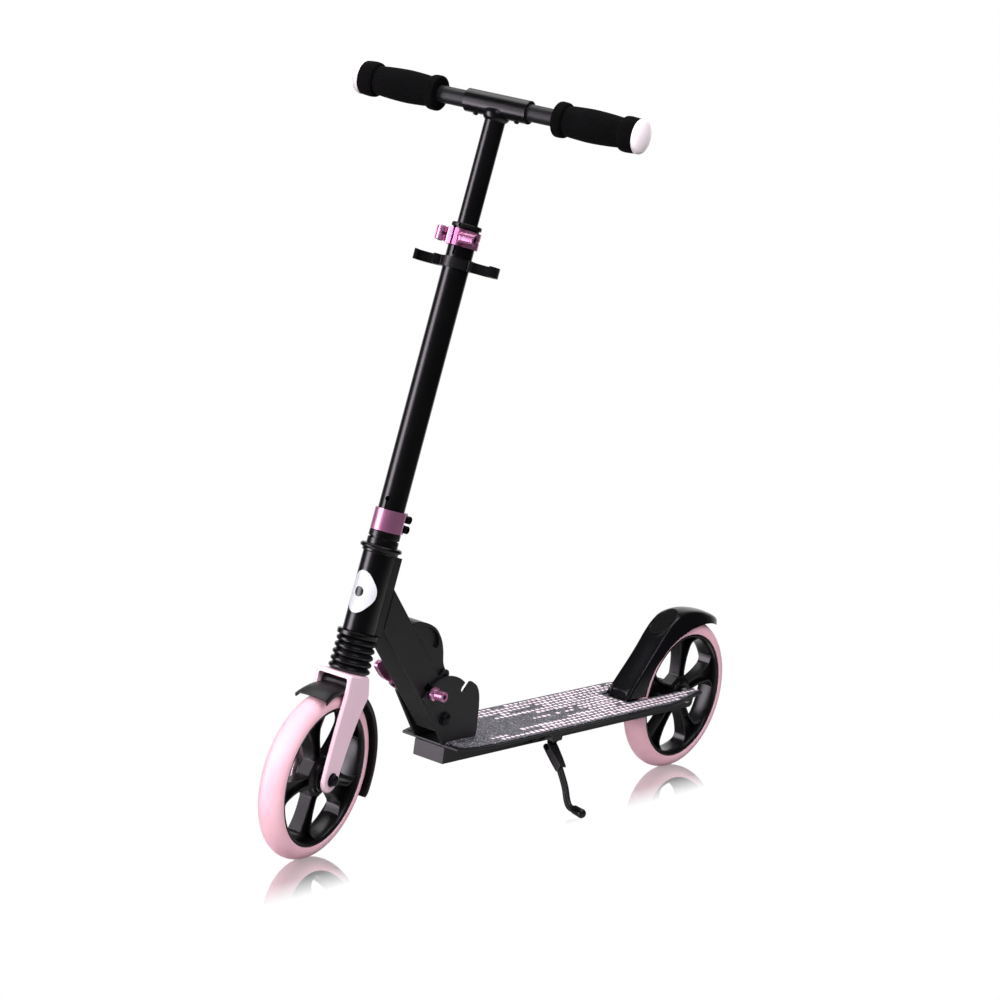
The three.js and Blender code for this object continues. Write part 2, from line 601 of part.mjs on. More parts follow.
// ---------------------------------------------------------------- brake
function brakeFenderShape() {
  const inner = WHEEL_RADIUS + BRAKE_GAP;
  const outer = inner + BRAKE_THICKNESS;
  const start = Math.asin((brakePivotZ - WHEEL_RADIUS + 2) / outer);
  const shell = sideProfile(arcBand(outer - BRAKE_SKIRT - BRAKE_THICKNESS, outer, start - 0.06, BRAKE_REAR_ANGLE),
    -BRAKE_HALF_WIDTH, BRAKE_HALF_WIDTH, 12);
  const hollowHalf = BRAKE_HALF_WIDTH - BRAKE_WALL;
  const hollow = sideProfile(arcBand(WHEEL_RADIUS - 30, inner, -0.3, BRAKE_REAR_ANGLE + 0.2), -hollowHalf, hollowHalf, 12);
  const x = BRAKE_PIVOT_FORWARD;
  const z = brakePivotZ - WHEEL_RADIUS;
  const boss = join(
    rod(6.5, -BRAKE_HALF_WIDTH, BRAKE_HALF_WIDTH).translate(x, 0, z),
    block(outer * Math.cos(start) - 2, x, -BRAKE_HALF_WIDTH, BRAKE_HALF_WIDTH, z - 3, z + 6.4),
  );
  return cut(join(cut(shell, hollow), boss),
    rod(BRAKE_PIN_RADIUS + GAP, -BRAKE_HALF_WIDTH - 1, BRAKE_HALF_WIDTH + 1).translate(x, 0, z));
}

function brakeTreadShape() {
  const seat = WHEEL_RADIUS + BRAKE_GAP + BRAKE_THICKNESS + GAP;
  return sideProfile(arcBand(seat, seat + 2, radians(52), radians(100)), -11, 11, 8);
}

part(rearHub, "brake_fender", brakeFenderShape(), blackPlastic);
part(rearHub, "brake_tread", brakeTreadShape(), rubber);

// ---------------------------------------------------------------- front frame
const tubeRear = -DOWN_TUBE_SET_BACK - DOWN_TUBE_DEPTH / 2;
const tubeHalf = DOWN_TUBE_WIDTH / 2;
const lockUp = LOCK_RADIUS * Math.cos(LOCK_ANGLE - DOWN_TUBE_ANGLE);
const lockBack = LOCK_RADIUS * Math.sin(LOCK_ANGLE - DOWN_TUBE_ANGLE);
const lugHalf = LEVER_HALF_WIDTH + PLAY;

function downTubeShape() {
  const reach = 300;
  const section = (width, depth, corner) => roundedRectangle(-DOWN_TUBE_SET_BACK, 0, depth, width, corner);
  const wall = 2 * DOWN_TUBE_WALL;
  const outer = plan(section(DOWN_TUBE_WIDTH, DOWN_TUBE_DEPTH, DOWN_TUBE_CORNER), -DOWN_TUBE_FOOT, reach, 3);
  const inner = plan(section(DOWN_TUBE_WIDTH - wall, DOWN_TUBE_DEPTH - wall, DOWN_TUBE_CORNER - DOWN_TUBE_WALL),
    -DOWN_TUBE_FOOT - 1, reach + 1, 3);
  const pinX = tubeRear - LEVER_PIN_BACK;
  const lug = join(
    rod(6, lugHalf, lugHalf + 3.5).translate(pinX, 0, LEVER_PIN_UP),
    block(pinX, tubeRear + 1, lugHalf, lugHalf + 3.5, LEVER_PIN_UP - 6, LEVER_PIN_UP + 6),
  );
  const lugs = [lug, lug.clone().translate(0, -2 * lugHalf - 3.5, 0)];
  const saddle = HEAD_TUBE_RADIUS + 2.8 + GAP;
  const headCutter = block(-saddle, 500, -100, 100, -300, 600);
  const windowHalf = LOCK_BOLT_RADIUS + PLAY;
  const lockWindow = block(
    -lockBack - windowHalf, windowHalf - lockBack, -tubeHalf - 1, tubeHalf + 1,
    lockUp - windowHalf, lockUp + LOCK_TRAVEL + windowHalf,
  );
  return cut(
    join(cut(outer, inner), ...lugs),
    seenFrom(tube, head, headCutter),
    lockWindow,
    rod(PIVOT_BOLT_RADIUS + GAP, -tubeHalf - 1, tubeHalf + 1),
    rod(LEVER_PIN_RADIUS + GAP, -tubeHalf - 1, tubeHalf + 1).translate(pinX, 0, LEVER_PIN_UP),
  );
}

part(tube, "down_tube", downTubeShape(), blackCoat);
const pinEnd = lugHalf + 3.5 - GAP;
part(tube, "lever_pin",
  rod(LEVER_PIN_RADIUS, -pinEnd, pinEnd).translate(tubeRear - LEVER_PIN_BACK, 0, LEVER_PIN_UP), blackSteel);

function headTubeShape() {
  const saddleBack = -HEAD_TUBE_RADIUS - 2.8;
  const saddle = block(saddleBack, -6, -tubeHalf + 1, tubeHalf - 1, HEAD_TUBE_BOTTOM, HEAD_TUBE_TOP);
  const barrel = rod(HEAD_TUBE_RADIUS, HEAD_TUBE_BOTTOM, HEAD_TUBE_TOP, "z", 24);
  const bore = rod(HEAD_TUBE_RADIUS - HEAD_TUBE_WALL, HEAD_TUBE_BOTTOM - 1, HEAD_TUBE_TOP + 1, "z", 24);
  return cut(join(barrel, saddle), bore);
}

// A headset cup: a flange outside the head tube and a sleeve inside it, seen from its flange.
function cupShape(flangeHeight) {
  const bore = STEERER_RADIUS + PLAY;
  const sleeve = HEAD_TUBE_RADIUS - HEAD_TUBE_WALL - GAP;
  return spin([
    [bore, 0], [CUP_RADIUS - 2, 0], [CUP_RADIUS, 2], [CUP_RADIUS, flangeHeight],
    [sleeve, flangeHeight], [sleeve, flangeHeight + 12], [bore, flangeHeight + 12],
  ], "z", 20);
}

part(head, "head_tube", headTubeShape(), glossBlack);
part(head, "headset_cup_lower", cupShape(CUP_HEIGHT_LOWER).translate(0, 0, BELLOWS_TOP + GAP), glossBlack);
part(head, "headset_cup_upper",
  cupShape(CUP_HEIGHT_UPPER).rotateX(Math.PI).translate(0, 0, HEAD_TUBE_TOP + GAP + CUP_HEIGHT_UPPER), glossBlack);

// ---------------------------------------------------------------- fold lock and levers
const lockFrame = frame(tube, -lockBack, 0, lockUp);
lockFrame.name = "frame_lock";
const plateOutside = SPINE_HALF_WIDTH + GAP + 0.2;

function lockKnobShape() {
  const knob = spin([
    [0, plateOutside], [8, plateOutside], [8, plateOutside + 4], [LOCK_KNOB_RADIUS, plateOutside + 5],
    [LOCK_KNOB_RADIUS, plateOutside + LOCK_KNOB_LENGTH], [0, plateOutside + LOCK_KNOB_LENGTH],
  ], "y", 16);
  return cut(knob, hexPrism(6, plateOutside + LOCK_KNOB_LENGTH - 6, plateOutside + LOCK_KNOB_LENGTH + 1));
}

function lockCamSeatShape() {
  return ring(8, 3, -plateOutside - 3.5, -plateOutside, "y", 16);
}

part(lockFrame, "lock_bolt", rod(LOCK_BOLT_RADIUS, -HINGE_INNER_Y + PLAY, HINGE_INNER_Y - PLAY), blackSteel);
part(lockFrame, "lock_knob", lockKnobShape(), pinkAnodised);
part(lockFrame, "lock_cam_seat", lockCamSeatShape(), pinkAnodised);

// The cam lever turns about an axis across the bolt, from lying along the tube.
const camY = -plateOutside - 3.5 - GAP - 7;
const camFrame = frame(lockFrame, 0, camY, 0);
camFrame.name = "frame_fold_cam";

function foldCamLeverShape() {
  const side = outline([[-6, 0], [-6, 12], [2, 22], [3, 42], [7, 46], [15, 46], [16, 24], [6, 4], [6, 0]]);
  const arm = sideProfile(side, -3.5, 2.5, 6);
  return join(rod(7, -6, 6, "x", 20), arm);
}

part(camFrame, "fold_cam_lever", foldCamLeverShape(), pinkAnodised);

const leverFrame = frame(tube, tubeRear - LEVER_PIN_BACK, 0, LEVER_PIN_UP);
leverFrame.name = "frame_fold_lever";

function foldLeverShape() {
  const face = LEVER_PIN_BACK - 1.5; // the side towards the tube, measured from the pin
  const back = LEVER_PIN_BACK - LEVER_STAND_OFF;
  const side = new THREE.Shape();
  side.moveTo(face - 2, -6);
  side.lineTo(face, 8);
  side.lineTo(face, LEVER_LENGTH);
  side.quadraticCurveTo(back * 0.55, LEVER_LENGTH - 10, back, LEVER_LENGTH * 0.6);
  side.quadraticCurveTo(back * 1.12, LEVER_LENGTH * 0.42, back * 0.72, LEVER_LENGTH * 0.24);
  side.lineTo(-6, 8);
  side.lineTo(-6, -4);
  side.lineTo(-2, -7);
  return cut(sideProfile(side, -LEVER_HALF_WIDTH, LEVER_HALF_WIDTH, 6),
    rod(LEVER_PIN_RADIUS + GAP, -LEVER_HALF_WIDTH - 1, LEVER_HALF_WIDTH + 1));
}

part(leverFrame, "fold_lever", foldLeverShape(), blackPlastic);

// ---------------------------------------------------------------- steering column
const steererBottom = BELLOWS_TOP - 8;
const steererTop = LOWER_CLAMP_TOP - 6;
const springSeat = HEAD_TUBE_TOP - 10;

function steererShape() {
  const bore = STEERER_RADIUS - STEERER_WALL;
  return cut(
    rod(STEERER_RADIUS, steererBottom, steererTop, "z", 20),
    rod(bore, steererBottom - 1, springSeat, "z", 20),
    rod(bore, springSeat + 4, steererTop + 1, "z", 20),
  );
}

// The column's top is slit in front, and a keyhole slot stands above the lower clamp.
function columnShape() {
  const slit = (from, to) => block(0, COLUMN_RADIUS + 1, -CLAMP_SLIT / 2, CLAMP_SLIT / 2, from, to);
  const keyholeZ = LOWER_CLAMP_TOP + 12;
  return cut(
    ring(COLUMN_RADIUS, COLUMN_BORE, COLUMN_BOTTOM, COLUMN_TOP, "z", 20),
    slit(COLUMN_BOTTOM - 1, keyholeZ),
    rod(3, 0, COLUMN_RADIUS + 1, "x", 12).translate(0, 0, keyholeZ),
    slit(COLUMN_TOP - 32, COLUMN_TOP + 1),
  );
}

// A split ring with two ears and a bolt hole, its ears pointing to +X.
function clampShape(radius, height, earReach, earHalf, boltHoles, boltX) {
  const ears = block(radius - 5, earReach, -earHalf, earHalf, 0, height);
  const holes = boltHoles.map((z) => rod(2.5 + GAP, -earHalf - 1, earHalf + 1).translate(boltX, 0, z));
  return cut(
    join(rod(radius, 0, height, "z", 20), ears),
    rod(COLUMN_RADIUS + GAP, -1, height + 1, "z", 20),
    block(0, earReach + 1, -CLAMP_SLIT / 2, CLAMP_SLIT / 2, -1, height + 1),
    ...holes,
  );
}

const clampBoltHeights = [LOWER_CLAMP_HEIGHT * 0.27, LOWER_CLAMP_HEIGHT * 0.73];
const lowerBoltX = LOWER_CLAMP_RADIUS + 4;
const upperBoltX = UPPER_CLAMP_EAR - 5.5;
const LOWER_EAR_HALF = 8.5;
const UPPER_EAR_HALF = 9;

part(steering, "steerer_tube", steererShape(), blackSteel);
part(steering, "column_tube", columnShape(), glossBlack);
const nutStack = spin([
  [STEERER_RADIUS + GAP, 0], [NUT_STACK_RADIUS, 0], [NUT_STACK_RADIUS, 7], [NUT_STACK_RADIUS - 2, 7.6],
  [NUT_STACK_RADIUS - 2, 8.4], [NUT_STACK_RADIUS, 9], [NUT_STACK_RADIUS, NUT_STACK], [STEERER_RADIUS + GAP, NUT_STACK],
], "z", 20);
part(steering, "headset_nut", nutStack.translate(0, 0, NUTS_BOTTOM), glossBlack);
const lowerClamp = clampShape(
  LOWER_CLAMP_RADIUS, LOWER_CLAMP_HEIGHT, LOWER_CLAMP_RADIUS + 8.5, LOWER_EAR_HALF, clampBoltHeights, lowerBoltX);
part(steering, "lower_clamp", lowerClamp.rotateZ(Math.PI).translate(0, 0, COLUMN_BOTTOM), pinkAnodised);

clampBoltHeights.forEach((height, i) => {
  const y = LOWER_EAR_HALF + GAP;
  const bolt = join(rod(2.5, -y + 1, y + 1, "y", 14), rod(4, y, y + 4.5, "y", 18));
  const socketed = cut(bolt, hexPrism(3.6, y + 2, y + 6));
  const name = i === 0 ? "clamp_bolt_lower" : "clamp_bolt_upper";
  part(steering, name, socketed.translate(-lowerBoltX, 0, COLUMN_BOTTOM + height), blackSteel);
});

const upperClamp = clampShape(
  UPPER_CLAMP_RADIUS, UPPER_CLAMP_HEIGHT, UPPER_CLAMP_EAR, UPPER_EAR_HALF, [UPPER_CLAMP_HEIGHT / 2], upperBoltX);
const upperClampBottom = UPPER_CLAMP_TOP - UPPER_CLAMP_HEIGHT;
part(steering, "upper_clamp", upperClamp.translate(0, 0, upperClampBottom), pinkAnodised);

// The quick-release bolt: a socketed barrel on the left and a shank to the cam on the right.
const qrFrame = frame(steering, upperBoltX, 0, upperClampBottom + UPPER_CLAMP_HEIGHT / 2);
const QR_BARREL = 13;
const CAM_RADIUS = 6.5;
const earFace = UPPER_EAR_HALF + GAP;
const qrCamY = -earFace - CAM_RADIUS - PLAY;
const qrBolt = join(rod(2.5, 3 - earFace, earFace + 2, "y", 14), rod(6.2, earFace, earFace + QR_BARREL, "y", 16));
const qrBoltCut = cut(qrBolt, hexPrism(5.5, earFace + QR_BARREL - 6, earFace + QR_BARREL + 1));
part(qrFrame, "height_clamp_bolt", qrBoltCut, pinkAnodised);

const qrCamFrame = frame(qrFrame, 0, qrCamY, 0);
qrCamFrame.name = "frame_height_cam";

// The lever runs back round the right side of the column.
function heightCamLeverShape() {
  const arm = new THREE.Shape();
  arm.moveTo(4, -6);
  arm.lineTo(4, -1);
  arm.lineTo(-8, -2.5);
  arm.quadraticCurveTo(-26, -8, -46, 2);
  arm.lineTo(-48.5, -2);
  arm.quadraticCurveTo(-28, -13, -8, -7.5);
  return join(rod(CAM_RADIUS, -8, 8, "z", 20), plan(arm, -7, 7, 6));
}

part(qrCamFrame, "height_cam_lever", heightCamLeverShape(), pinkAnodised);

const bushingBore = STEM_RADIUS + GAP;
const bushing = cut(spin([
  [bushingBore, -28], [COLUMN_BORE - GAP, -28], [COLUMN_BORE - GAP, GAP],
  [COLUMN_RADIUS + 2, GAP], [COLUMN_RADIUS + 2, 4], [COLUMN_RADIUS, 5], [bushingBore, 5],
], "z", 20), block(0, 30, -CLAMP_SLIT / 2, CLAMP_SLIT / 2, -29, 6));
part(steering, "column_bushing", bushing.translate(0, 0, COLUMN_TOP), blackPlastic);

// The clip that holds the two handlebar halves when they are pulled out: a collar with
// two open jaws, one on each side.
function barClipShape() {
  const jawInner = GRIP_RADIUS - 1.5;
  const jawOuter = jawInner + BAR_CLIP_WALL;
  const jawY = BAR_CLIP_REACH - jawOuter;
  const jaw = (side) => {
    const band = new THREE.Shape();
    band.absarc(0, 0, jawOuter, radians(48), radians(312), false);
    band.absarc(0, 0, jawInner, radians(312), radians(48), true);
    return plan(band, 0, BAR_CLIP_HEIGHT, 9).translate(2, side * jawY, 0);
  };
  const collar = rod(COLUMN_RADIUS + 3.2, 0, BAR_CLIP_HEIGHT, "z", 20);
  const bridge = block(-8, 6, jawInner + 1 - jawY, jawY - jawInner - 1, 0, BAR_CLIP_HEIGHT);
  const tab = block(-COLUMN_RADIUS - 8, -COLUMN_RADIUS + 2, -4, 4, -3, BAR_CLIP_HEIGHT);
  const body = join(jaw(1), jaw(-1), collar, bridge, tab);
  return cut(body, rod(COLUMN_RADIUS + GAP, -5, BAR_CLIP_HEIGHT + 1, "z", 20));
}

part(steering, "bar_clip", barClipShape().translate(0, 0, COLUMN_TOP - BAR_CLIP_DROP - BAR_CLIP_HEIGHT), blackPlastic);

// ---------------------------------------------------------------- stem and handlebar
const stem = frame(steering, 0, 0, BAR_HEIGHT);
stem.name = "frame_stem";

function stemTeeShape() {
  const bore = BAR_RADIUS + GAP;
  const stemBore = STEM_RADIUS - STEM_WALL;
  const body = join(
    rod(STEM_RADIUS, -STEM_LENGTH, 0, "z", 20),
    rod(TEE_RADIUS, -TEE_HALF_LENGTH, TEE_HALF_LENGTH, "y", 16),
  );
  const buttonHoles = [-1, 1].map((side) =>
    rod(SNAP_BUTTON_RADIUS + GAP, -TEE_RADIUS - 1, 0, "z", 12).translate(0, side * SNAP_BUTTON_Y, 0));
  return cut(
    body,
    rod(bore, -TEE_HALF_LENGTH - 1, TEE_HALF_LENGTH + 1, "y", 16),
    rod(stemBore, -STEM_LENGTH - 1, 0, "z", 20),
    ...buttonHoles,
  );
}

part(stem, "stem_tee", stemTeeShape(), glossBlack);

// Handlebar halves: drawn for the left side along +Y and turned about Z for the right.
function barShape() {
  const hole = rod(SNAP_BUTTON_RADIUS + GAP, -BAR_RADIUS - 1, 0, "z", 12).translate(0, SNAP_BUTTON_Y, 0);
  return cut(ring(BAR_RADIUS, BAR_RADIUS - BAR_WALL, BAR_INNER_END, GRIP_END - 1, "y", 16), hole);
}

function gripShape() {
  const bore = BAR_RADIUS + GAP;
  const flange = 4;
  return spin([
    [bore, GRIP_START], [GRIP_FLANGE_RADIUS, GRIP_START], [GRIP_FLANGE_RADIUS, GRIP_START + flange],
    [GRIP_RADIUS - 1, GRIP_START + flange + 2], [GRIP_RADIUS, (GRIP_START + GRIP_END) / 2],
    [GRIP_RADIUS - 1, GRIP_END - 24], [GRIP_FLANGE_RADIUS, GRIP_END - 20], [GRIP_FLANGE_RADIUS, GRIP_END],
    [bore, GRIP_END],
  ], "y", 18);
}

function endCapShape() {
  const plug = BAR_RADIUS - BAR_WALL - GAP;
  const dome = [[0, GRIP_END - 15], [plug, GRIP_END - 15], [plug, GRIP_END + GAP]];
  const steps = 4;
  for (let i = 0; i <= steps; i += 1) {
    const turn = (i / steps) * (Math.PI / 2);
    dome.push([(GRIP_FLANGE_RADIUS - 1) * Math.cos(turn), GRIP_END + GAP + 2 + (END_CAP_LENGTH - 2) * Math.sin(turn)]);
  }
  dome.splice(3, 0, [GRIP_FLANGE_RADIUS - 1, GRIP_END + GAP]);
  dome[dome.length - 1][0] = 0;
  return spin(dome, "y", 16);
}

function snapButtonShape() {
  const top = -BAR_RADIUS + BAR_WALL + 2.2;
  const bottom = -TEE_RADIUS - 2.2;
  return join(rod(SNAP_BUTTON_RADIUS, bottom, top, "z", 12), rod(4.6, top - 0.4, top + 2, "z", 12))
    .translate(0, SNAP_BUTTON_Y, 0);
}

for (const [side, turn] of [["left", 0], ["right", Math.PI]]) {
  const half = frame(stem);
  half.name = `frame_bar_${side}`;
  half.rotation.z = turn;
  part(half, `bar_${side}`, barShape(), blackCoat);
  part(half, `grip_${side}`, gripShape(), foam);
  part(half, `end_cap_${side}`, endCapShape(), pinkAnodised);
  part(half, `snap_button_${side}`, snapButtonShape(), brightSteel);
}

// ---------------------------------------------------------------- fork
function forkShape() {
  const side = new THREE.Shape();
  const frontX = FORK_OFFSET + FORK_FOOT_RADIUS;
  const rearX = FORK_OFFSET - FORK_FOOT_RADIUS;
  side.absarc(FORK_OFFSET, 0, FORK_FOOT_RADIUS, Math.PI, 2 * Math.PI);
  side.quadraticCurveTo(frontX + 2, 50, frontX - 1.5, CROWN_TOP - 24);
  side.lineTo(frontX + 0.8, CROWN_TOP - 3);
  side.lineTo(frontX - 1, CROWN_TOP);
  side.lineTo(rearX - 10, CROWN_TOP);
  side.quadraticCurveTo(rearX - 15.5, CROWN_TOP - 12, rearX - 19.5, CROWN_TOP - 20);
  side.lineTo(rearX - 20, CROWN_TOP - 25);
  side.quadraticCurveTo(rearX - 6, CROWN_TOP * 0.55, rearX, 0);
  const inside = FORK_HALF_WIDTH - FORK_WALL;
  const hole = STEERER_RADIUS - STEERER_WALL - PLAY + GAP;
  return cut(
    sideProfile(side, -FORK_HALF_WIDTH, FORK_HALF_WIDTH, 8),
    block(-60, 60, -inside, inside, -40, CROWN_TOP - CROWN_THICKNESS),
    rod(AXLE_RADIUS + GAP, -FORK_HALF_WIDTH - 1, FORK_HALF_WIDTH + 1).translate(FORK_OFFSET, 0, 0),
    rod(hole, 0, CROWN_TOP + 1, "z", 16),
  );
}

// The fender passes through the fork and hangs from a block under the crown.
function frontFenderShape() {
  const inner = FENDER_INNER;
  const outer = inner + FENDER_THICKNESS;
  const half = FENDER_HALF_WIDTH;
  const arch = sideProfile(arcBand(inner - 4, outer, FENDER_FRONT_ANGLE, FENDER_REAR_ANGLE), -half, half, 14);
  const hollow = sideProfile(arcBand(inner - 10, inner, FENDER_FRONT_ANGLE - 0.2, FENDER_REAR_ANGLE + 0.2),
    2 - half, half - 2, 14);
  const top = CROWN_TOP - CROWN_THICKNESS - GAP;
  const mount = block(-28, 12, -half, half, inner * 0.98, top);
  const solidArch = join(cut(arch, hollow), cut(mount, rod(inner, -half - 1, half + 1, "y", WHEEL_SIDES)));
  const sliderHole = rod(STEERER_RADIUS, 0, CROWN_TOP, "z", 16).translate(-FORK_OFFSET, 0, 0);
  return cut(solidArch, sliderHole);
}

function suspensionSliderShape() {
  const outer = STEERER_RADIUS - STEERER_WALL - PLAY;
  const top = CROWN_TOP - CROWN_THICKNESS;
  return cut(
    join(rod(outer, top - 5, BELLOWS_TOP + 34, "z", 16), rod(outer + 2, top - 5, top - GAP, "z", 16)),
    rod(outer - 2.5, top - 6, BELLOWS_TOP + 28, "z", 20),
  );
}

function bellowsShape() {
  const pitch = BELLOWS_LENGTH / BELLOWS_RINGS;
  const fold = 3.8;
  const bore = BELLOWS_RADIUS - fold - 2;
  const outside = [[BELLOWS_RADIUS - fold, 0]];
  for (let i = 0; i < BELLOWS_RINGS; i += 1) {
    outside.push([BELLOWS_RADIUS, (i + 0.5) * pitch], [BELLOWS_RADIUS - fold, (i + 1) * pitch]);
  }
  return spin([...outside, [bore, BELLOWS_LENGTH], [bore, 0]], "z", 20);
}

const springBottom = BELLOWS_TOP + 34 + GAP + 1.6;
const springHeight = springSeat - springBottom - GAP - 1.6;
part(steering, "fork", forkShape(), palePink);
part(frontHub, "front_fender", frontFenderShape(), blackPlastic);
part(frontHub, "front_axle", domedBolt(AXLE_RADIUS, NUT_RADIUS, FORK_HALF_WIDTH + GAP, NUT_HEIGHT), glossBlack);
part(steering, "suspension_slider", suspensionSliderShape(), brightSteel);
part(steering, "bellows", bellowsShape().translate(0, 0, CROWN_TOP + GAP), rubber);
part(steering, "suspension_spring", helix(8, 1.4, springHeight, 4).translate(0, 0, springBottom), springSteel);

// ---------------------------------------------------------------- standing on the ground
// The origin is the middle of the bottom face of the whole object's box.
scooter.updateMatrixWorld(true);
const bounds = new THREE.Box3().setFromObject(scooter, true);
const middle = bounds.getCenter(new THREE.Vector3());
stand.position.set(-middle.x, -middle.y, -bounds.min.z);
scooter.updateMatrixWorld(true);

export default scooter;
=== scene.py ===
import json
import math
import random

import bmesh
import bpy
from mathutils import Matrix, Vector


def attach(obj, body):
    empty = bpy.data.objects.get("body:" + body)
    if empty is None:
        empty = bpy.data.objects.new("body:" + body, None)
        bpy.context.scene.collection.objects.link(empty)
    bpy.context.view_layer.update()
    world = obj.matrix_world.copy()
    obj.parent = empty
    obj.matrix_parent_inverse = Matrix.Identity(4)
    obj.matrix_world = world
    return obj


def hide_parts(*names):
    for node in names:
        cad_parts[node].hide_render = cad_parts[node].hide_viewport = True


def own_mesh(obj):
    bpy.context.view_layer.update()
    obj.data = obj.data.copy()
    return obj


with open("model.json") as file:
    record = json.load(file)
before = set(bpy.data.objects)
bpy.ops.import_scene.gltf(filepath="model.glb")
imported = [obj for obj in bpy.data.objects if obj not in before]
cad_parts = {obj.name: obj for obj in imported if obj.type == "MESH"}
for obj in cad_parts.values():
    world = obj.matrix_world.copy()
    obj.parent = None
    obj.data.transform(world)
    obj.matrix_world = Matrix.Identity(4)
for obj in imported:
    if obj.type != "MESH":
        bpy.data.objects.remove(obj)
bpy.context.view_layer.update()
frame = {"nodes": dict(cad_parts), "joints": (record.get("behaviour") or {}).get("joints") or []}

MM = 0.001

# ------------------------------------------------------------------ the part's own axes


def joint(name):
    return next(row for row in frame["joints"] if row["name"] == name)


def axis(name):
    return Vector(joint(name)["axis"]).normalized()


def pivot(name):
    return Vector(joint(name)["pos_m"])


def own_axes(origin, across, up):
    """The place of a part whose Y lies across it and whose Z runs up it."""
    forward = across.cross(up).normalized()
    turn = Matrix((forward, across, up)).transposed().to_4x4()
    return Matrix.Translation(origin) @ turn


def moved(place, x=0.0, y=0.0, z=0.0):
    return place @ Matrix.Translation(Vector((x, y, z)) * MM)


HALF_WHEELBASE = 360.75
WHEEL_RADIUS = 100.0
ACROSS = axis("rear_wheel_spin")
DECK_UP = Vector((1, 0, 0)).cross(ACROSS)
REAR_HUB = own_axes(pivot("rear_wheel_spin"), ACROSS, DECK_UP)
DECK = moved(REAR_HUB, x=HALF_WHEELBASE, z=-WHEEL_RADIUS)
FOLD_X = 159.1
FOLD_UP = 143.0
FOLD_BOLT = moved(DECK, FOLD_X, 0, FOLD_UP)
TUBE = own_axes(pivot("fold"), ACROSS, axis("lock_slide"))
LOCK_BACK = 2.92
LOCK_UP = 43.9
LOCK = moved(TUBE, x=-LOCK_BACK, z=LOCK_UP)
FOLD_CAM = own_axes(pivot("fold_cam_turn"), ACROSS, axis("lock_slide"))
FOLD_LEVER = own_axes(pivot("fold_lever_pull"), ACROSS, axis("lock_slide"))
HEAD = own_axes(pivot("steer"), ACROSS, axis("steer"))
STEER_ACROSS = axis("front_wheel_spin")
STEERING = own_axes(pivot("steer"), STEER_ACROSS, axis("steer"))
FRONT_HUB = own_axes(pivot("front_wheel_spin"), STEER_ACROSS, axis("steer"))
HEIGHT_CAM = own_axes(pivot("height_cam_turn"), STEER_ACROSS, axis("steer"))
BAR_HEIGHT = 785.2
STEM = moved(STEERING, z=BAR_HEIGHT)
BAR = {"left": STEM, "right": STEM @ Matrix.Rotation(math.pi, 4, "Z")}


def corners_of(node, place=Matrix()):
    """The corners of a piece of the frame, as seen from a place."""
    back = place.inverted()
    return [back @ corner.co for corner in frame["nodes"][node].data.vertices]


def kickstand_axes():
    """The kickstand's place: Z along its hinge, X from the hinge towards its foot."""
    hinge = axis("kickstand_fold")
    corners = corners_of("kickstand_foot")
    foot = sum(corners, Vector()) / len(corners) - pivot("kickstand_fold")
    down = (foot - hinge * foot.dot(hinge)).normalized()
    return own_axes(pivot("kickstand_fold"), hinge.cross(down), hinge)


STAND = kickstand_axes()

# ------------------------------------------------------------------ outlines


def arc(cx, cy, radius, start, end, steps=12):
    turns = [math.radians(start + (end - start) * i / steps) for i in range(steps + 1)]
    return [(cx + radius * math.cos(t), cy + radius * math.sin(t)) for t in turns]


def eased(points, steps=6):
    """A smooth line through points of two or three numbers."""
    line = [Vector(point) for point in points]
    line = [line[0] * 2 - line[1], *line, line[-1] * 2 - line[-2]]
    made = []
    for i in range(1, len(line) - 2):
        a, b, c, d = line[i - 1:i + 3]
        for step in range(steps):
            t = step / steps
            made.append(0.5 * (2 * b + (c - a) * t + (2 * a - 5 * b + 4 * c - d) * t * t
                               + (3 * b - a - 3 * c + d) * t ** 3))
    made.append(line[-2])
    return [tuple(point) for point in made]


def rounded(points, radius, steps=5):
    """A closed outline with its corners rounded; a third number is that corner's own radius."""
    made = []
    count = len(points)
    for i, point in enumerate(points):
        here = Vector(point[:2])
        back = Vector(points[i - 1][:2]) - here
        ahead = Vector(points[(i + 1) % count][:2]) - here
        size = point[2] if len(point) > 2 else radius
        spread = back.angle(ahead, math.pi)
        if size <= 0 or spread > 3.05:
            made.append(tuple(here))
            continue
        reach = min(size / math.tan(spread / 2), back.length * 0.49, ahead.length * 0.49)
        start = here + back.normalized() * reach
        end = here + ahead.normalized() * reach
        for step in range(steps + 1):
            t = step / steps
            made.append(tuple(start * (1 - t) ** 2 + here * 2 * t * (1 - t) + end * t * t))
    return made


def mirrored(half):
    """A closed outline from one half, whose second numbers change sign for the other half."""
    return [*half, *[(a, -b) for a, b in reversed(half)]]


def oblong(low, high, start, end, square=""):
    """The corners of an oblong; those at its low or its high end can be kept square."""
    first = (0,) if square == "low" else ()
    last = (0,) if square == "high" else ()
    return [(low, start, *first), (high, start, *last), (high, end, *last), (low, end, *first)]


def oval(wide, middle, rise, degrees):
    """Points of an oval at some angles, with its middle at a height."""
    return [(wide * math.cos(math.radians(t)), middle + rise * math.sin(math.radians(t))) for t in degrees]


def edged(radius, half, edge):
    """The profile of a short round bar whose two edges are cut off."""
    return mirrored([(0.0, -half), (radius - edge, -half), (radius, edge - half)])


# ------------------------------------------------------------------ shapes in millimetres


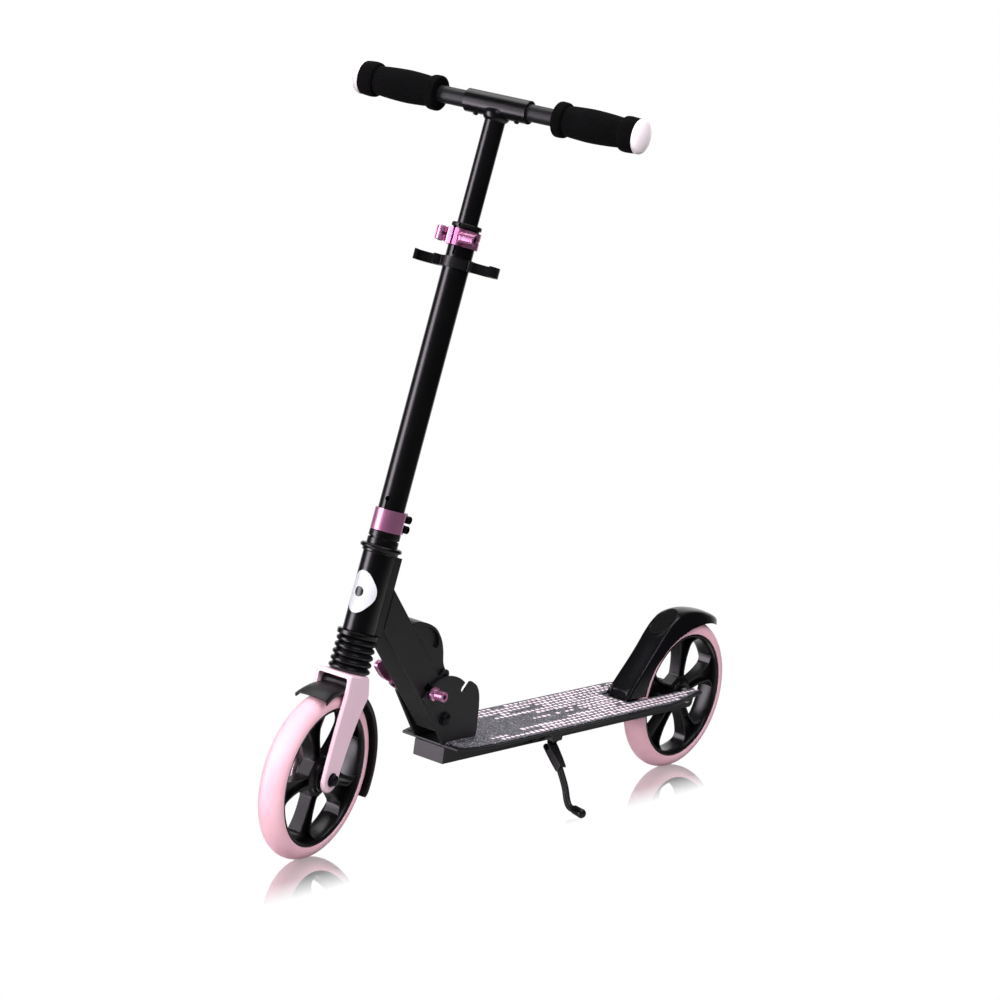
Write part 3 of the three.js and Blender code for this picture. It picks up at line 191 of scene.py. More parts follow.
def loft(rings, loop=False):
    """A skin over rings of points, closed at both ends or round in a loop."""
    size = len(rings[0])
    count = len(rings)
    points = [point for ring in rings for point in ring]
    faces = []
    for i in range(count if loop else count - 1):
        low = i * size
        high = ((i + 1) % count) * size
        for j in range(size):
            k = (j + 1) % size
            faces.append((low + j, low + k, high + k, high + j))
    if not loop:
        faces.append(tuple(range(size)))
        faces.append(tuple(range((count - 1) * size, count * size)))
    return points, faces


def lay(axis_name, a, b, along):
    """A point of an outline with its distance along the axis that the outline is seen from."""
    return {"x": (along, a, b), "y": (a, along, b), "z": (a, b, along)}[axis_name]


def turned(profile, axis_name="z", sides=96):
    """A turned form from a closed profile of (radius, height)."""
    rings = []
    for i in range(sides):
        t = 2 * math.pi * i / sides
        rings.append([lay(axis_name, r * math.cos(t), r * math.sin(t), h) for r, h in profile])
    return loft(rings, loop=True)


def slab(outline, low, high, axis_name="y"):
    """A flat plate from its outline, between two distances along an axis."""
    return loft([[lay(axis_name, a, b, along) for a, b in outline] for along in (low, high)])


def bar(radius, low, high, axis_name="y", sides=48):
    return slab(arc(0, 0, radius, 0, 360 * (1 - 1 / sides), sides - 1), low, high, axis_name)


def shifted(shape, x=0.0, y=0.0, z=0.0):
    points, faces = shape
    return [(a + x, b + y, c + z) for a, b, c in points], faces


def spun(shape, degrees, axis_name="Y"):
    turn = Matrix.Rotation(math.radians(degrees), 3, axis_name)
    points, faces = shape
    return [tuple(turn @ Vector(point)) for point in points], faces


def drawn_along(path, radius, sides=16, start_up=(0.0, 0.0, 1.0), loop=False):
    """A round wire or rod along a path; radius is one number or one for each point."""
    line = [Vector(point) for point in path]
    sizes = radius if isinstance(radius, list) else [radius] * len(line)
    up = Vector(start_up)
    rings = []
    for i, point in enumerate(line):
        ahead = line[(i + 1) % len(line)] if loop else line[min(i + 1, len(line) - 1)]
        back = line[i - 1] if loop or i else line[0]
        way = (ahead - back).normalized()
        up = (up - way * up.dot(way)).normalized()
        side = way.cross(up)
        ring = []
        for j in range(sides):
            t = 2 * math.pi * j / sides
            ring.append(tuple(point + (side * math.cos(t) + up * math.sin(t)) * sizes[i]))
        rings.append(ring)
    return loft(rings, loop)


def hexagon(across_flats):
    return arc(0, 0, across_flats / math.sqrt(3), 0, 300, 5)


# ------------------------------------------------------------------ pieces


def solid(name, *shapes):
    """A mesh object from shapes, each one closed."""
    whole = bmesh.new()
    for points, faces in shapes:
        made = bmesh.new()
        corners = [made.verts.new(Vector(point) * MM) for point in points]
        for face in faces:
            made.faces.new([corners[i] for i in face])
        bmesh.ops.remove_doubles(made, verts=made.verts, dist=2e-6)
        bmesh.ops.dissolve_degenerate(made, dist=1e-6, edges=made.edges)
        bmesh.ops.recalc_face_normals(made, faces=made.faces)
        stage = bpy.data.meshes.new("stage")
        made.to_mesh(stage)
        whole.from_mesh(stage)
        bpy.data.meshes.remove(stage)
        made.free()
    mesh = bpy.data.meshes.new(name)
    whole.to_mesh(mesh)
    whole.free()
    made = bpy.data.objects.new(name, mesh)
    bpy.context.scene.collection.objects.link(made)
    return made


def settle(piece):
    """Keeps what the piece's modifiers make of it as its own mesh."""
    bpy.context.view_layer.update()
    graph = bpy.context.evaluated_depsgraph_get()
    mesh = bpy.data.meshes.new_from_object(piece.evaluated_get(graph))
    piece.modifiers.clear()
    old = piece.data
    piece.data = mesh
    bpy.data.meshes.remove(old)
    return piece


def carve(piece, how, *shapes):
    """Cuts shapes out of a piece, or joins them to it: DIFFERENCE, UNION or INTERSECT."""
    tools = [solid("cutter", shape) for shape in shapes]
    for tool in tools:
        step = piece.modifiers.new("carve", "BOOLEAN")
        step.operation = how
        step.object = tool
        step.solver = "EXACT"
    settle(piece)
    for tool in tools:
        bpy.data.objects.remove(tool)
    return piece


def soften(piece, width, steps=3, angle=35):
    """Rounds the piece's edges that turn by more than an angle."""
    step = piece.modifiers.new("soften", "BEVEL")
    step.width = width * MM
    step.segments = steps
    step.limit_method = "ANGLE"
    step.angle_limit = math.radians(angle)
    step.miter_outer = "MITER_ARC"
    return settle(piece)


def fit(piece, place, body, slot, finish, stands_for=(), sharp=38):
    """Puts a finished piece on its body, with its finish and smooth shading."""
    mesh = piece.data
    mesh.materials.clear()
    mesh.materials.append(finish)
    for face in mesh.polygons:
        face.use_smooth = True
        face.material_index = 0
    mesh.set_sharp_from_angle(angle=math.radians(sharp))
    flats = piece.modifiers.new("flats", "WEIGHTED_NORMAL")
    flats.keep_sharp = True
    flats.weight = 80
    piece.matrix_world = place
    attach(piece, body)
    if stands_for:
        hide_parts(*stands_for)
    return piece


# ------------------------------------------------------------------ finishes


def linear(code):
    """An sRGB hex colour as linear numbers."""
    values = [int(code[i:i + 2], 16) / 255 for i in (1, 3, 5)]
    return [v / 12.92 if v < 0.04045 else ((v + 0.055) / 1.055) ** 2.4 for v in values] + [1.0]


def add(tree, kind, values=None, links=None, **settings):
    """Adds a node with its settings, its sockets' values and its links."""
    made = tree.nodes.new("ShaderNode" + kind)
    for name, value in settings.items():
        setattr(made, name, value)
    for name, value in (values or {}).items():
        made.inputs[name].default_value = value
    for name, source in (links or {}).items():
        tree.links.new(source, made.inputs[name])
    return made


def surface(name, low, high, roughness, grain, depth, blotch=40.0, grit="noise", **fixed):
    """A finish whose colour runs from low to high in blotches of some millimetres, whose roughness
    runs between two numbers, and whose surface has a grain of some millimetres, depth millimetres deep."""
    made = bpy.data.materials.new(name)
    made.use_nodes = True
    tree = made.node_tree
    shader = tree.nodes["Principled BSDF"]
    for socket, value in fixed.items():
        shader.inputs[socket.replace("_", " ").title().replace("Ior", "IOR")].default_value = value
    place = add(tree, "TexCoord").outputs["Object"]
    cloud = add(tree, "TexNoise", {"Scale": 1 / (blotch * MM), "Detail": 3.0}, {"Vector": place})
    shade = add(tree, "ValToRGB", links={"Fac": cloud.outputs["Fac"]})
    shade.color_ramp.elements[0].position = 0.35
    shade.color_ramp.elements[0].color = linear(low)
    shade.color_ramp.elements[1].position = 0.65
    shade.color_ramp.elements[1].color = linear(high)
    tree.links.new(shade.outputs["Color"], shader.inputs["Base Color"])
    if grit == "noise":
        grain_node = add(tree, "TexNoise", {"Scale": 1 / (grain * MM), "Detail": 2.0}, {"Vector": place})
        height = grain_node.outputs["Fac"]
    else:
        grain_node = add(tree, "TexVoronoi", {"Scale": 1 / (grain * MM)}, {"Vector": place})
        height = grain_node.outputs["Distance"]
    gloss = add(tree, "MapRange", {"To Min": roughness[0], "To Max": roughness[1]}, {"Value": height})
    tree.links.new(gloss.outputs["Result"], shader.inputs["Roughness"])
    bump = add(tree, "Bump", {"Distance": depth * MM, "Strength": 0.6}, {"Height": height})
    tree.links.new(bump.outputs["Normal"], shader.inputs["Normal"])
    return made, tree, shader, place, height


# Satin black powder coat on aluminium: a fine orange peel breaks the light into a soft sheen.
POWDER_COAT = surface("powder_coated_aluminium", "#131214", "#171618", (0.4, 0.46), 0.9, 0.003)[0]
# Gloss black stoved paint on aluminium tube: deep black with narrow soft highlights.
STOVED_PAINT = surface("gloss_black_stoved_paint", "#050506", "#070708", (0.27, 0.3), 6.0, 0.0002,
                       coat_weight=0.2, coat_roughness=0.2)[0]
# Gloss black injection-moulded nylon: slightly wavy highlights over thick and thin walls.
NYLON = surface("gloss_black_moulded_nylon", "#080809", "#0b0a0c", (0.26, 0.3), 8.0, 0.0005)[0]
# Satin black moulded polypropylene: fine spark-eroded grain, a broad grey sheen.
MOULDED = surface("satin_black_moulded_polypropylene", "#0e0d0f", "#121113", (0.34, 0.4), 0.8, 0.002)[0]
# Gloss black moulded nylon of the brake: polished tool, clear soft highlights along its ridges.
POLISHED = surface("polished_black_moulded_nylon", "#08070a", "#0a090c", (0.22, 0.25), 9.0, 0.0003)[0]
# Black rubber, moulded smooth: nearly black with clear glossy lines on each fold.
RUBBER = surface("gloss_black_moulded_rubber", "#08080a", "#0d0c0e", (0.2, 0.28), 3.0, 0.004)[0]
# Black matt rubber of the brake's tread: darker than the moulding round it.
TREAD_RUBBER = surface("matt_black_moulded_rubber", "#030303", "#050505", (0.5, 0.6), 3.0, 0.002,
                       specular_ior_level=0.2)[0]
# Black closed-cell foam rubber: matt, with fine pores of half a millimetre.
FOAM = surface("black_foam_rubber", "#040404", "#070607", (0.9, 1.0), 0.9, 0.12, grit="cells",
               specular_ior_level=0.15)[0]
# Pink anodised turned aluminium: a bright metal that goes from near white to deep magenta.
ANODISED = surface("pink_anodised_aluminium", "#e695c6", "#eaa0cc", (0.3, 0.34), 0.9, 0.0003,
                   metallic=0.88)[0]
# Pale pink powder coat, smooth and half gloss.
PINK_COAT = surface("pale_pink_powder_coat", "#f0cbdb", "#f3d0df", (0.34, 0.42), 1.2, 0.002,
                    coat_weight=0.25, coat_roughness=0.2)[0]
# Cast polyurethane tyre: soft pink, slightly clouded, light sinks in a little.
URETHANE = surface("pink_cast_polyurethane", "#f3bccb", "#f5c4d1", (0.42, 0.5), 2.0, 0.002,
                   subsurface_weight=0.15, subsurface_scale=0.004)[0]
# Pale pink moulded ABS, glossy.
PINK_ABS = surface("pale_pink_moulded_abs", "#faeaf1", "#fcf0f5", (0.26, 0.32), 2.0, 0.002)[0]
# Black oxide on steel bolts: dark satin metal.
BLACK_OXIDE = surface("black_oxide_steel", "#242327", "#2e2c31", (0.26, 0.34), 0.8, 0.001,
                      metallic=0.9)[0]
# Ground bright steel: springs, races and sliders.
BRIGHT_STEEL = surface("bright_ground_steel", "#bdbec2", "#cfd0d3", (0.2, 0.28), 0.8, 0.0008,
                       metallic=1.0)[0]
# Printed mark: white satin vinyl film.
VINYL = surface("white_satin_vinyl", "#cbcbd2", "#d4d4da", (0.4, 0.5), 1.5, 0.002)[0]


def grit_finish(name, low, high, spark):
    """Silicon carbide grit on film, 0.6 mm grains: dark, with scattered grains painted bright as glints."""
    made, tree, shader, place, height = surface(name, low, high, (0.55, 0.8), 0.9, 0.35, 20.0, "cells")
    # Painted glints: a share of the cells is coloured bright, standing in for light that the grains catch.
    cells = add(tree, "TexVoronoi", {"Scale": 1 / (1.3 * MM)}, {"Vector": place})
    glint_mask = add(tree, "MapRange", {"From Min": 0.62, "From Max": 0.9}, {"Value": cells.outputs["Color"]})
    base = shader.inputs["Base Color"].links[0].from_socket
    mix = add(tree, "Mix", data_type="RGBA")
    tree.links.new(glint_mask.outputs["Result"], mix.inputs["Factor"])
    tree.links.new(base, mix.inputs[6])
    mix.inputs[7].default_value = linear(spark)
    tree.links.new(mix.outputs[2], shader.inputs["Base Color"])
    return made


# The last colour of each grit is its painted glint.
GRIT = grit_finish("carbide_grit_tape", "#3d3b42", "#49474e", "#a5a3ac")
PRINTED_GRIT = grit_finish("pink_printed_grit", "#f6dcea", "#fbe8f2", "#fff8fc")
WELD = grit_finish("coated_weld_bead", "#2a292d", "#39373c", "#8d8a92")

# The finishes that many pieces share, each paired with a slot name.
COATED = ("black_powder_coat", POWDER_COAT)
PAINTED = ("gloss_black", STOVED_PAINT)
PLASTIC = ("black_plastic", MOULDED)
PINK_METAL = ("pink_anodised", ANODISED)
DARK_STEEL = ("black_steel", BLACK_OXIDE)
PALE_STEEL = ("bright_steel", BRIGHT_STEEL)

# ------------------------------------------------------------------ wheels
TYRE_RING = 84.7
TYRE_SECTION = 15.3
TYRE_BASE_HALF = 9.0
RIM_LIP = 82.2
BARREL = 75.8
SPOKES = 5
SPOKE_PITCH = 360 / SPOKES
RECESS_EDGE = 2.6
RECESS_WEB = 1.9
CUT_THROUGH = 20
AXLE_HOLE = 4.3


def tyre(name, place, body):
    """A round tread that runs on a little past its half circle, and a narrow base inside the rim."""
    reach = 98.0
    tread = [(TYRE_RING + a, b) for a, b in arc(0, 0, TYRE_SECTION, -reach, reach, 36)]
    base = [(82.3, TYRE_BASE_HALF), (78.2, TYRE_BASE_HALF)]
    made = solid(name + "_cast", turned([*tread, *mirrored(base)], "y", 180))
    fit(made, place, body, "pink_tyre", URETHANE, [name], 50)


def half_spoke(radius):
    """A spoke's half width: slim by the hub, flaring like a trumpet into the barrel."""
    flare = max(0.0, radius - 30) / 46
    mouth = max(0.0, radius - 66) / 10
    return 7.0 + 8.5 * flare ** 2.0 + 8.0 * mouth ** 2.2


def between_spokes(radii, half_width, corner):
    """The outline of a window or a spoke's recess, from its half width at each radius."""
    side = [(r, half_width(r)) for r in radii]
    left = [(math.sqrt(max(r * r - w * w, 1)), w) for r, w in side]
    tilt = math.degrees(math.atan2(left[-1][1], left[-1][0]))
    across = arc(0, 0, radii[-1], tilt, -tilt, 14)[1:-1]
    right = [(x, -y) for x, y in reversed(left)]
    return rounded([(*left[0], corner), *left[1:], *across, *right[:-1], (*right[-1], corner)], 0.0, 8)


def window_half(radius):
    """Half the width of a window between two spokes."""
    gap = math.radians(SPOKE_PITCH / 2) - math.asin(half_spoke(radius) / radius)
    return radius * math.sin(gap)


def wheel_core(name, place, body, first_spoke):
    """A rim with a lip on each side, a disc with five windows and ribbed spokes, and its bearings."""
    lip = [(BARREL, 0.0), (75.9, 4.0), (76.2, 8.0), (76.8, 11.0), (77.8, 13.0), (78.6, 14.0), (79.4, 14.6),
           (80.3, 14.85), (81.4, 14.75), (82.0, 14.3), (RIM_LIP, 13.6), (RIM_LIP, 9.3), (77.9, 9.3),
           (77.9, 0.0)]
    half_disc = [(9.0, 0.0), (9.0, 7.2), (11.3, 7.2), (11.3, 13.8), (11.9, 14.5), (16.4, 14.5), (17.3, 13.8),
                 (17.9, 11.0), (19.4, 9.0), (22.0, 8.0), (30.0, 7.4), (50.0, 7.4), (64.0, 8.0), (72.0, 9.0),
                 (77.4, 10.2), (77.4, 0.0)]
    middle = solid("spoked_disc", turned(mirrored(half_disc), "y", 120))
    window = between_spokes([26, *range(28, 77), 78], window_half, 7.0)
    recess = between_spokes([24, *range(26, 77), 78], lambda r: half_spoke(r) - RECESS_EDGE, 3.0)
    cuts = []
    for i in range(SPOKES):
        # Turning about Y by a negative angle carries X towards Z.
        spoke = -(first_spoke + SPOKE_PITCH * i)
        cuts.append(spun(slab(window, -CUT_THROUGH, CUT_THROUGH), spoke - SPOKE_PITCH / 2))
        cuts.append(spun(slab(recess, RECESS_WEB, CUT_THROUGH), spoke))
        cuts.append(spun(slab(recess, -CUT_THROUGH, -RECESS_WEB), spoke))
    carve(middle, "DIFFERENCE", *cuts)
    soften(middle, 0.9, 3)
    fit(middle, place, body, "gloss_black_nylon", NYLON)
    middle.name = name + "_spokes"
    shell = solid(name + "_rim", turned(mirrored(lip), "y", 160))
    fit(shell, place, body, "gloss_black_nylon", NYLON, [name + "_core"], 60)
    seal = [(4.4, 7.8), (4.4, 14.2), (6.3, 14.2), (6.6, 13.5), (9.4, 13.5), (9.7, 14.2), (10.9, 14.2),
            (10.9, 7.8)]
    for side, sign in (("left", 1), ("right", -1)):
        bearing = f"{name[:-6]}_bearing_{side}"
        race = solid(bearing + "_race", turned([(r, y * sign) for r, y in seal], "y", 64))
        fit(race, place, body, *PALE_STEEL, [bearing])


tyre("rear_tyre", REAR_HUB, "rear_wheel")
tyre("front_tyre", FRONT_HUB, "front_wheel")
wheel_core("rear_wheel", REAR_HUB, "rear_wheel", 90)
wheel_core("front_wheel", FRONT_HUB, "front_wheel", 270)


def domed_nuts(name, place, body, shank, nut, grip, height, stands_for):
    """A bolt across the scooter with a washer and a domed nut at each end."""
    top = oval(nut, height * 0.45, height * 0.55, range(0, 91, 9))
    washer = nut + 1.6
    outside = [(0.0, 0.0), (shank, 0.0), (washer, 0.0), (washer, 1.0), (nut + 1.2, 1.4), (nut, 1.4), *top]
    shapes = [bar(shank, -grip - 1, grip + 1)]
    for sign in (1, -1):
        shapes.append(turned([(r, sign * (grip + y)) for r, y in outside], "y", 48))
    fit(solid(name, *shapes), place, body, *DARK_STEEL, [stands_for])


domed_nuts("rear_axle_nuts", REAR_HUB, "deck", 4.0, 4.6, 23.2, 7.5, "rear_axle")
domed_nuts("front_axle_nuts", FRONT_HUB, "fork", 4.0, 6.6, 23.8, 7.8, "front_axle")
domed_nuts("fold_bolt_nuts", FOLD_BOLT, "deck", 5.0, 7.2, 23.2, 7.0, "fold_pivot_bolt")

# ------------------------------------------------------------------ deck
SPINE_FRONT = 150.6
SPINE_TOP = 105.7
SPINE_BOTTOM = 85.3
SPINE_HALF = 22.9
SLOT_HALF = 18.9
SLOT_FRONT = -253.75
TAIL = -373.75
TAIL_CORNER = 7
HOLLOW_LOW = 87.5
HOLLOW_HIGH = 103.2
HOLLOW_HALF = 20.4
DECK_BOTTOM = 106.0
DECK_TOP = 109.1
BRAKE_HINGE_X = -236.05
BRAKE_HINGE_UP = 118.6
BOLT_HOLE = 5.3
# Distance ahead of the deck's middle, and half the deck's width there.
DECK_WIDTHS = [
    (151, 43.2), (140, 46.6), (119, 51.4), (86, 54.6), (40, 55), (-120, 55), (-280, 55), (-310, 50.3),
    (-335, 44.5), (-360, 38.8), (TAIL, 36),
]


def spine():
    """A hollow flat tube under the deck, whose rear end is forked round the wheel."""
    tail = [*arc(TAIL + TAIL_CORNER, SPINE_TOP - TAIL_CORNER, TAIL_CORNER, 90, 180, 6),
            *arc(TAIL + TAIL_CORNER, SPINE_BOTTOM + TAIL_CORNER, TAIL_CORNER, 180, 270, 6)]
    side = [(SPINE_FRONT, SPINE_BOTTOM), (SPINE_FRONT, SPINE_TOP), *tail]
    made = solid("deck_spine_tube", slab(side, -SPINE_HALF, SPINE_HALF))
    hollow = oblong(SLOT_FRONT - 1, SPINE_FRONT - 2.5, HOLLOW_LOW, HOLLOW_HIGH)
    fork_gap = oblong(TAIL - 9, SLOT_FRONT, 80, 112)
    axle = shifted(bar(AXLE_HOLE, -30, 30), -HALF_WHEELBASE, 0, WHEEL_RADIUS)
    carve(made, "DIFFERENCE", slab(hollow, -HOLLOW_HALF, HOLLOW_HALF), slab(fork_gap, -SLOT_HALF, SLOT_HALF),
          axle)
    soften(made, 1.0)
    fit(made, DECK, "deck", *COATED, ["deck_spine"])
    # A thin washer lies on each side of the tube, under the axle's nut.
    for sign in (1, -1):
        washer = [(5.0, sign * SPINE_HALF), (8.4, sign * SPINE_HALF), (8.4, sign * 23.1), (5.0, sign * 23.1)]
        fit(solid(f"axle_washer_{sign + 1}", turned(washer, "y", 48)), REAR_HUB, "deck", *PALE_STEEL)


def deck_half_width(x):
    """Half the deck's width at a distance ahead of its middle."""
    for (x1, w1), (x0, w0) in zip(DECK_WIDTHS, DECK_WIDTHS[1:]):
        if x >= x0:
            return w0 + (w1 - w0) * (x - x0) / (x1 - x0)
    return DECK_WIDTHS[-1][1]


def deck_outline(margin, nose, tail, corner):
    """The deck's outline less a margin, from a nose to a tail, with its four corners rounded."""
    xs = [nose, *[x for x, _ in DECK_WIDTHS if tail < x < nose - 3], tail]
    left = [(x, deck_half_width(x) - margin) for x in xs]
    left[0] = (*left[0], corner)
    left[-1] = (*left[-1], corner)
    right = [(point[0], -point[1], *point[2:]) for point in reversed(left)]
    return rounded([*left, *right], 9.0, 5)


def deck():
    """The pressed plate with its slot for the wheel, and the brake's two lugs and pin."""
    outline = deck_outline(0, SPINE_FRONT, TAIL, 2.5)
    plate = solid("deck_pressed_plate", slab(outline, DECK_BOTTOM, DECK_TOP, "z"))
    slot = rounded(oblong(TAIL - 20, SLOT_FRONT, -SLOT_HALF, SLOT_HALF, "low"), 3.0)
    carve(plate, "DIFFERENCE", slab(slot, 100, 115, "z"))
    soften(plate, 0.9)
    fit(plate, DECK, "deck", *COATED, ["deck_plate"])
    lug = [*arc(BRAKE_HINGE_X, BRAKE_HINGE_UP, 5, 0, 180, 16), (-241.05, 108), (-231.05, 108)]
    lugs = [slab(lug, low, high) for low, high in ((11.2, 14.4), (-14.4, -11.2))]
    hinge = soften(solid("brake_hinge_lugs", *lugs), 0.6)
    fit(hinge, DECK, "deck", *COATED)
    pin = domed_pin("brake_hinge_pin", 3.0, 14.8, 1.0)
    fit(pin, moved(DECK, BRAKE_HINGE_X, 0, BRAKE_HINGE_UP), "deck", *DARK_STEEL, ["brake_pivot_pin"])


def domed_pin(name, radius, half, head):
    """A pin whose two ends are slightly domed."""
    end = oval(radius, half - head, head, range(0, 91, 15))
    return solid(name, turned(mirrored(end), "y", 40))


TAPE_BOTTOM = 109.4
TAPE_TOP = 110.3
TAPE_MARGIN = 3.6
# The gap for the hinge plates in front, and the gap for the wheel and the brake behind.
FRONT_GAP_END = 88.8
FRONT_GAP_HALF = 24.6
REAR_GAP_END = -226.0
REAR_GAP_HALF = 22.4


def in_gap(x, y, margin=0.0):
    """Whether a place on the tape is where the hinge plates or the wheel and brake stand."""
    front = x > FRONT_GAP_END - margin and abs(y) < FRONT_GAP_HALF + margin
    rear = x < REAR_GAP_END + margin and abs(y) < REAR_GAP_HALF + margin
    return front or rear


def tape():
    """Tape over the deck, with a gap for the hinge plates and a fork that runs beside the wheel."""
    outline = deck_outline(TAPE_MARGIN, 143.0, TAIL + 2.5, 3.0)
    made = solid("grip_tape_sheet", slab(outline, TAPE_BOTTOM, TAPE_TOP, "z"))
    front = rounded(oblong(FRONT_GAP_END, 160, -FRONT_GAP_HALF, FRONT_GAP_HALF, "high"), 3.0)
    rear = rounded(oblong(TAIL - 9, REAR_GAP_END, -REAR_GAP_HALF, REAR_GAP_HALF, "low"), 3.0)
    carve(made, "DIFFERENCE", slab(front, 105, 115, "z"), slab(rear, 105, 115, "z"))
    soften(made, 0.25, 2)
    fit(made, DECK, "deck", "grip_tape", GRIT, ["grip_tape"])


# For each row: its distance from the middle, where it starts in front, how full it is.
DASH_ROWS = [
    (-46.0, 104, 0.55), (-38.5, 60, 0.9), (-31.0, 74, 0.8), (-23.5, -18, 0.75), (-16.0, 4, 0.85),
    (-8.5, -70, 0.8), (-1.0, -128, 0.85), (6.5, -44, 0.3), (14.0, -150, 0.9), (21.5, -96, 0.7),
    (29.0, 10, 0.85), (36.5, 78, 0.6), (44.0, 66, 0.85),
]
DASH_GAP = 3.2
DASH_FILM = 0.07


def printed_dashes():
    """Lengthwise rows of pink dashes, broken by gaps in front and nearly full at the rear."""
    chance = random.Random(11)
    shapes = []
    for y, start, fullness in DASH_ROWS:
        x = start
        runs = True
        while x > TAIL + 8:
            length = chance.uniform(5.2, 7.2)
            rearward = min(max((-70 - x) / 90, 0.0), 1.0)
            if chance.random() < 0.16:
                runs = chance.random() < fullness
            middle = x - length / 2
            room = deck_half_width(middle) - TAPE_MARGIN - 3.4
            clear = abs(y) < room and not in_gap(middle, y, DASH_GAP)
            if clear and (runs or chance.random() < 0.93 * rearward):
                half = chance.choice((1.8, 2.1, 2.4, 3.1))
                end = x - length
                dash = rounded([(x, y - half), (x, y + half), (end, y + half), (end, y - half)], 1.4, 3)
                shapes.append(slab(dash, TAPE_TOP, TAPE_TOP + DASH_FILM, "z"))
            x -= length + DASH_GAP
    made = solid("printed_dashes", *shapes)
    fit(made, DECK, "deck", "pink_anodised", PRINTED_GRIT)


PLATE_RADIUS = 51.6
NOTCH_HALF = 4.0


def hinge_plate(side_name, low, high):
    """A plate welded on the deck: an arc round the fold bolt, two lock notches and a hook lobe."""
    foot = TAPE_BOTTOM - FOLD_UP
    edge = [(154.5 - FOLD_X, foot), *arc(0, 0, PLATE_RADIUS, 34.3, 131, 30)]
    a = math.radians(138.8)
    lobe = eased([(60.6 * math.cos(a), 60.6 * math.sin(a)), (-56.5, 33), (-63.0, 22), (-66.0, 6)], 5)
    side = [*edge, *lobe, (91.8 - FOLD_X, foot + 7), (94.8 - FOLD_X, foot)]
    made = solid("hinge_plate_" + side_name + "_cut", slab(side, low, high))
    notch = [*arc(0, 0, NOTCH_HALF, 90, 270, 12), (26, -NOTCH_HALF), (26, NOTCH_HALF)]
    lock_notch = shifted(slab(notch, low - 2, high + 2), 44, 0, 0)
    bolt_hole = bar(BOLT_HOLE, low - 2, high + 2)
    carve(made, "DIFFERENCE", spun(lock_notch, -51.5), spun(lock_notch, -133.5), bolt_hole)
    soften(made, 0.55)
    fit(made, FOLD_BOLT, "deck", *COATED, ["hinge_plate_" + side_name])


def weld_beads():
    """Rippled weld beads along the foot of each hinge plate, outside it."""
    chance = random.Random(3)
    for name, y in (("left", FRONT_GAP_HALF), ("right", -FRONT_GAP_HALF)):
        path = []
        sizes = []
        for i in range(64):
            x = 152 - i * 0.93
            path.append((x, y + chance.uniform(-0.25, 0.25), 110.9 + chance.uniform(-0.2, 0.2)))
            swell = 1.0 - max(0.0, abs(i - 31.5) - 27) / 8
            sizes.append(swell * (2.0 + 0.45 * math.sin(i * 1.55) + chance.uniform(-0.15, 0.15)))
        made = solid("weld_bead_" + name, drawn_along(path, sizes, 14))
        fit(made, DECK, "deck", "black_powder_coat", WELD, sharp=80)


spine()
deck()
tape()
printed_dashes()
hinge_plate("left", SLOT_HALF, SPINE_HALF)
hinge_plate("right", -SPINE_HALF, -SLOT_HALF)
weld_beads()

# ------------------------------------------------------------------ fender brake
# Its crest and its lower edge, seen from the side and measured from the wheel's axle, then half its
# width at the edge and half its width between the two top ridges.
BRAKE_STATIONS = [
    ((134.0, 12.4), (95.5, 12.0), 21.0, 17.4),
    ((123.0, 25.0), (93.4, 22.0), 20.8, 16.6),
    ((111.6, 37.8), (89.0, 34.0), 20.6, 16.2),
    ((88.6, 63.2), (79.4, 50.5), 20.6, 15.8),
    ((76.0, 77.4), (69.0, 60.6), 21.0, 15.8),
    ((66.0, 89.4), (59.4, 69.6), 21.2, 16.0),
    ((50.5, 103.4), (46.0, 79.0), 21.6, 16.2),
    ((32.5, 112.4), (28.5, 86.8), 21.6, 15.8),
    ((6.0, 115.4), (5.0, 93.2), 21.0, 14.2),
    ((-21.0, 112.4), (-18.0, 95.2), 19.6, 12.4),
    ((-43.0, 106.4), (-38.0, 93.8), 16.8, 10.0),
    ((-58.0, 101.0), (-53.0, 90.6), 13.6, 7.8),
    ((-68.5, 96.0), (-64.0, 87.4), 9.8, 5.4),
    ((-74.0, 92.0), (-71.0, 85.6), 5.6, 3.0),
    ((-75.6, 89.6), (-74.4, 86.4), 2.0, 1.1),
]
BRAKE_WALL = 2.4
TYRE_ROOM = 104.6
TYRE_ROOM_HALF = 17


def brake_section(crest, edge, half, ridge, inner=False):
    """Half a cross section: a gently domed top to a soft ridge, then a side that slants outwards."""
    height = math.dist(crest, edge)
    wall = BRAKE_WALL if inner else 0.0
    drop = min(2.2, height * 0.14)
    flank = half - ridge
    line = [(0.0, height), (ridge * 0.5, height - drop * 0.2), (ridge * 0.85, height - drop * 0.62),
            (ridge + flank * 0.16, height - drop * 1.5), (ridge + flank * 0.44, height * 0.6),
            (ridge + flank * 0.74, height * 0.3), (half, 0.0)]
    made = []
    for y, up in eased(line, 4):
        up = max(up - wall, 0.0)
        y = y * (1 - wall / half)
        x = edge[0] + (crest[0] - edge[0]) * up / height
        z = edge[1] + (crest[1] - edge[1]) * up / height
        reach = math.hypot(x, z)
        if inner and reach < TYRE_ROOM and y < TYRE_ROOM_HALF:
            x, z = x * TYRE_ROOM / reach, z * TYRE_ROOM / reach
        made.append((x, y, z))
    return made


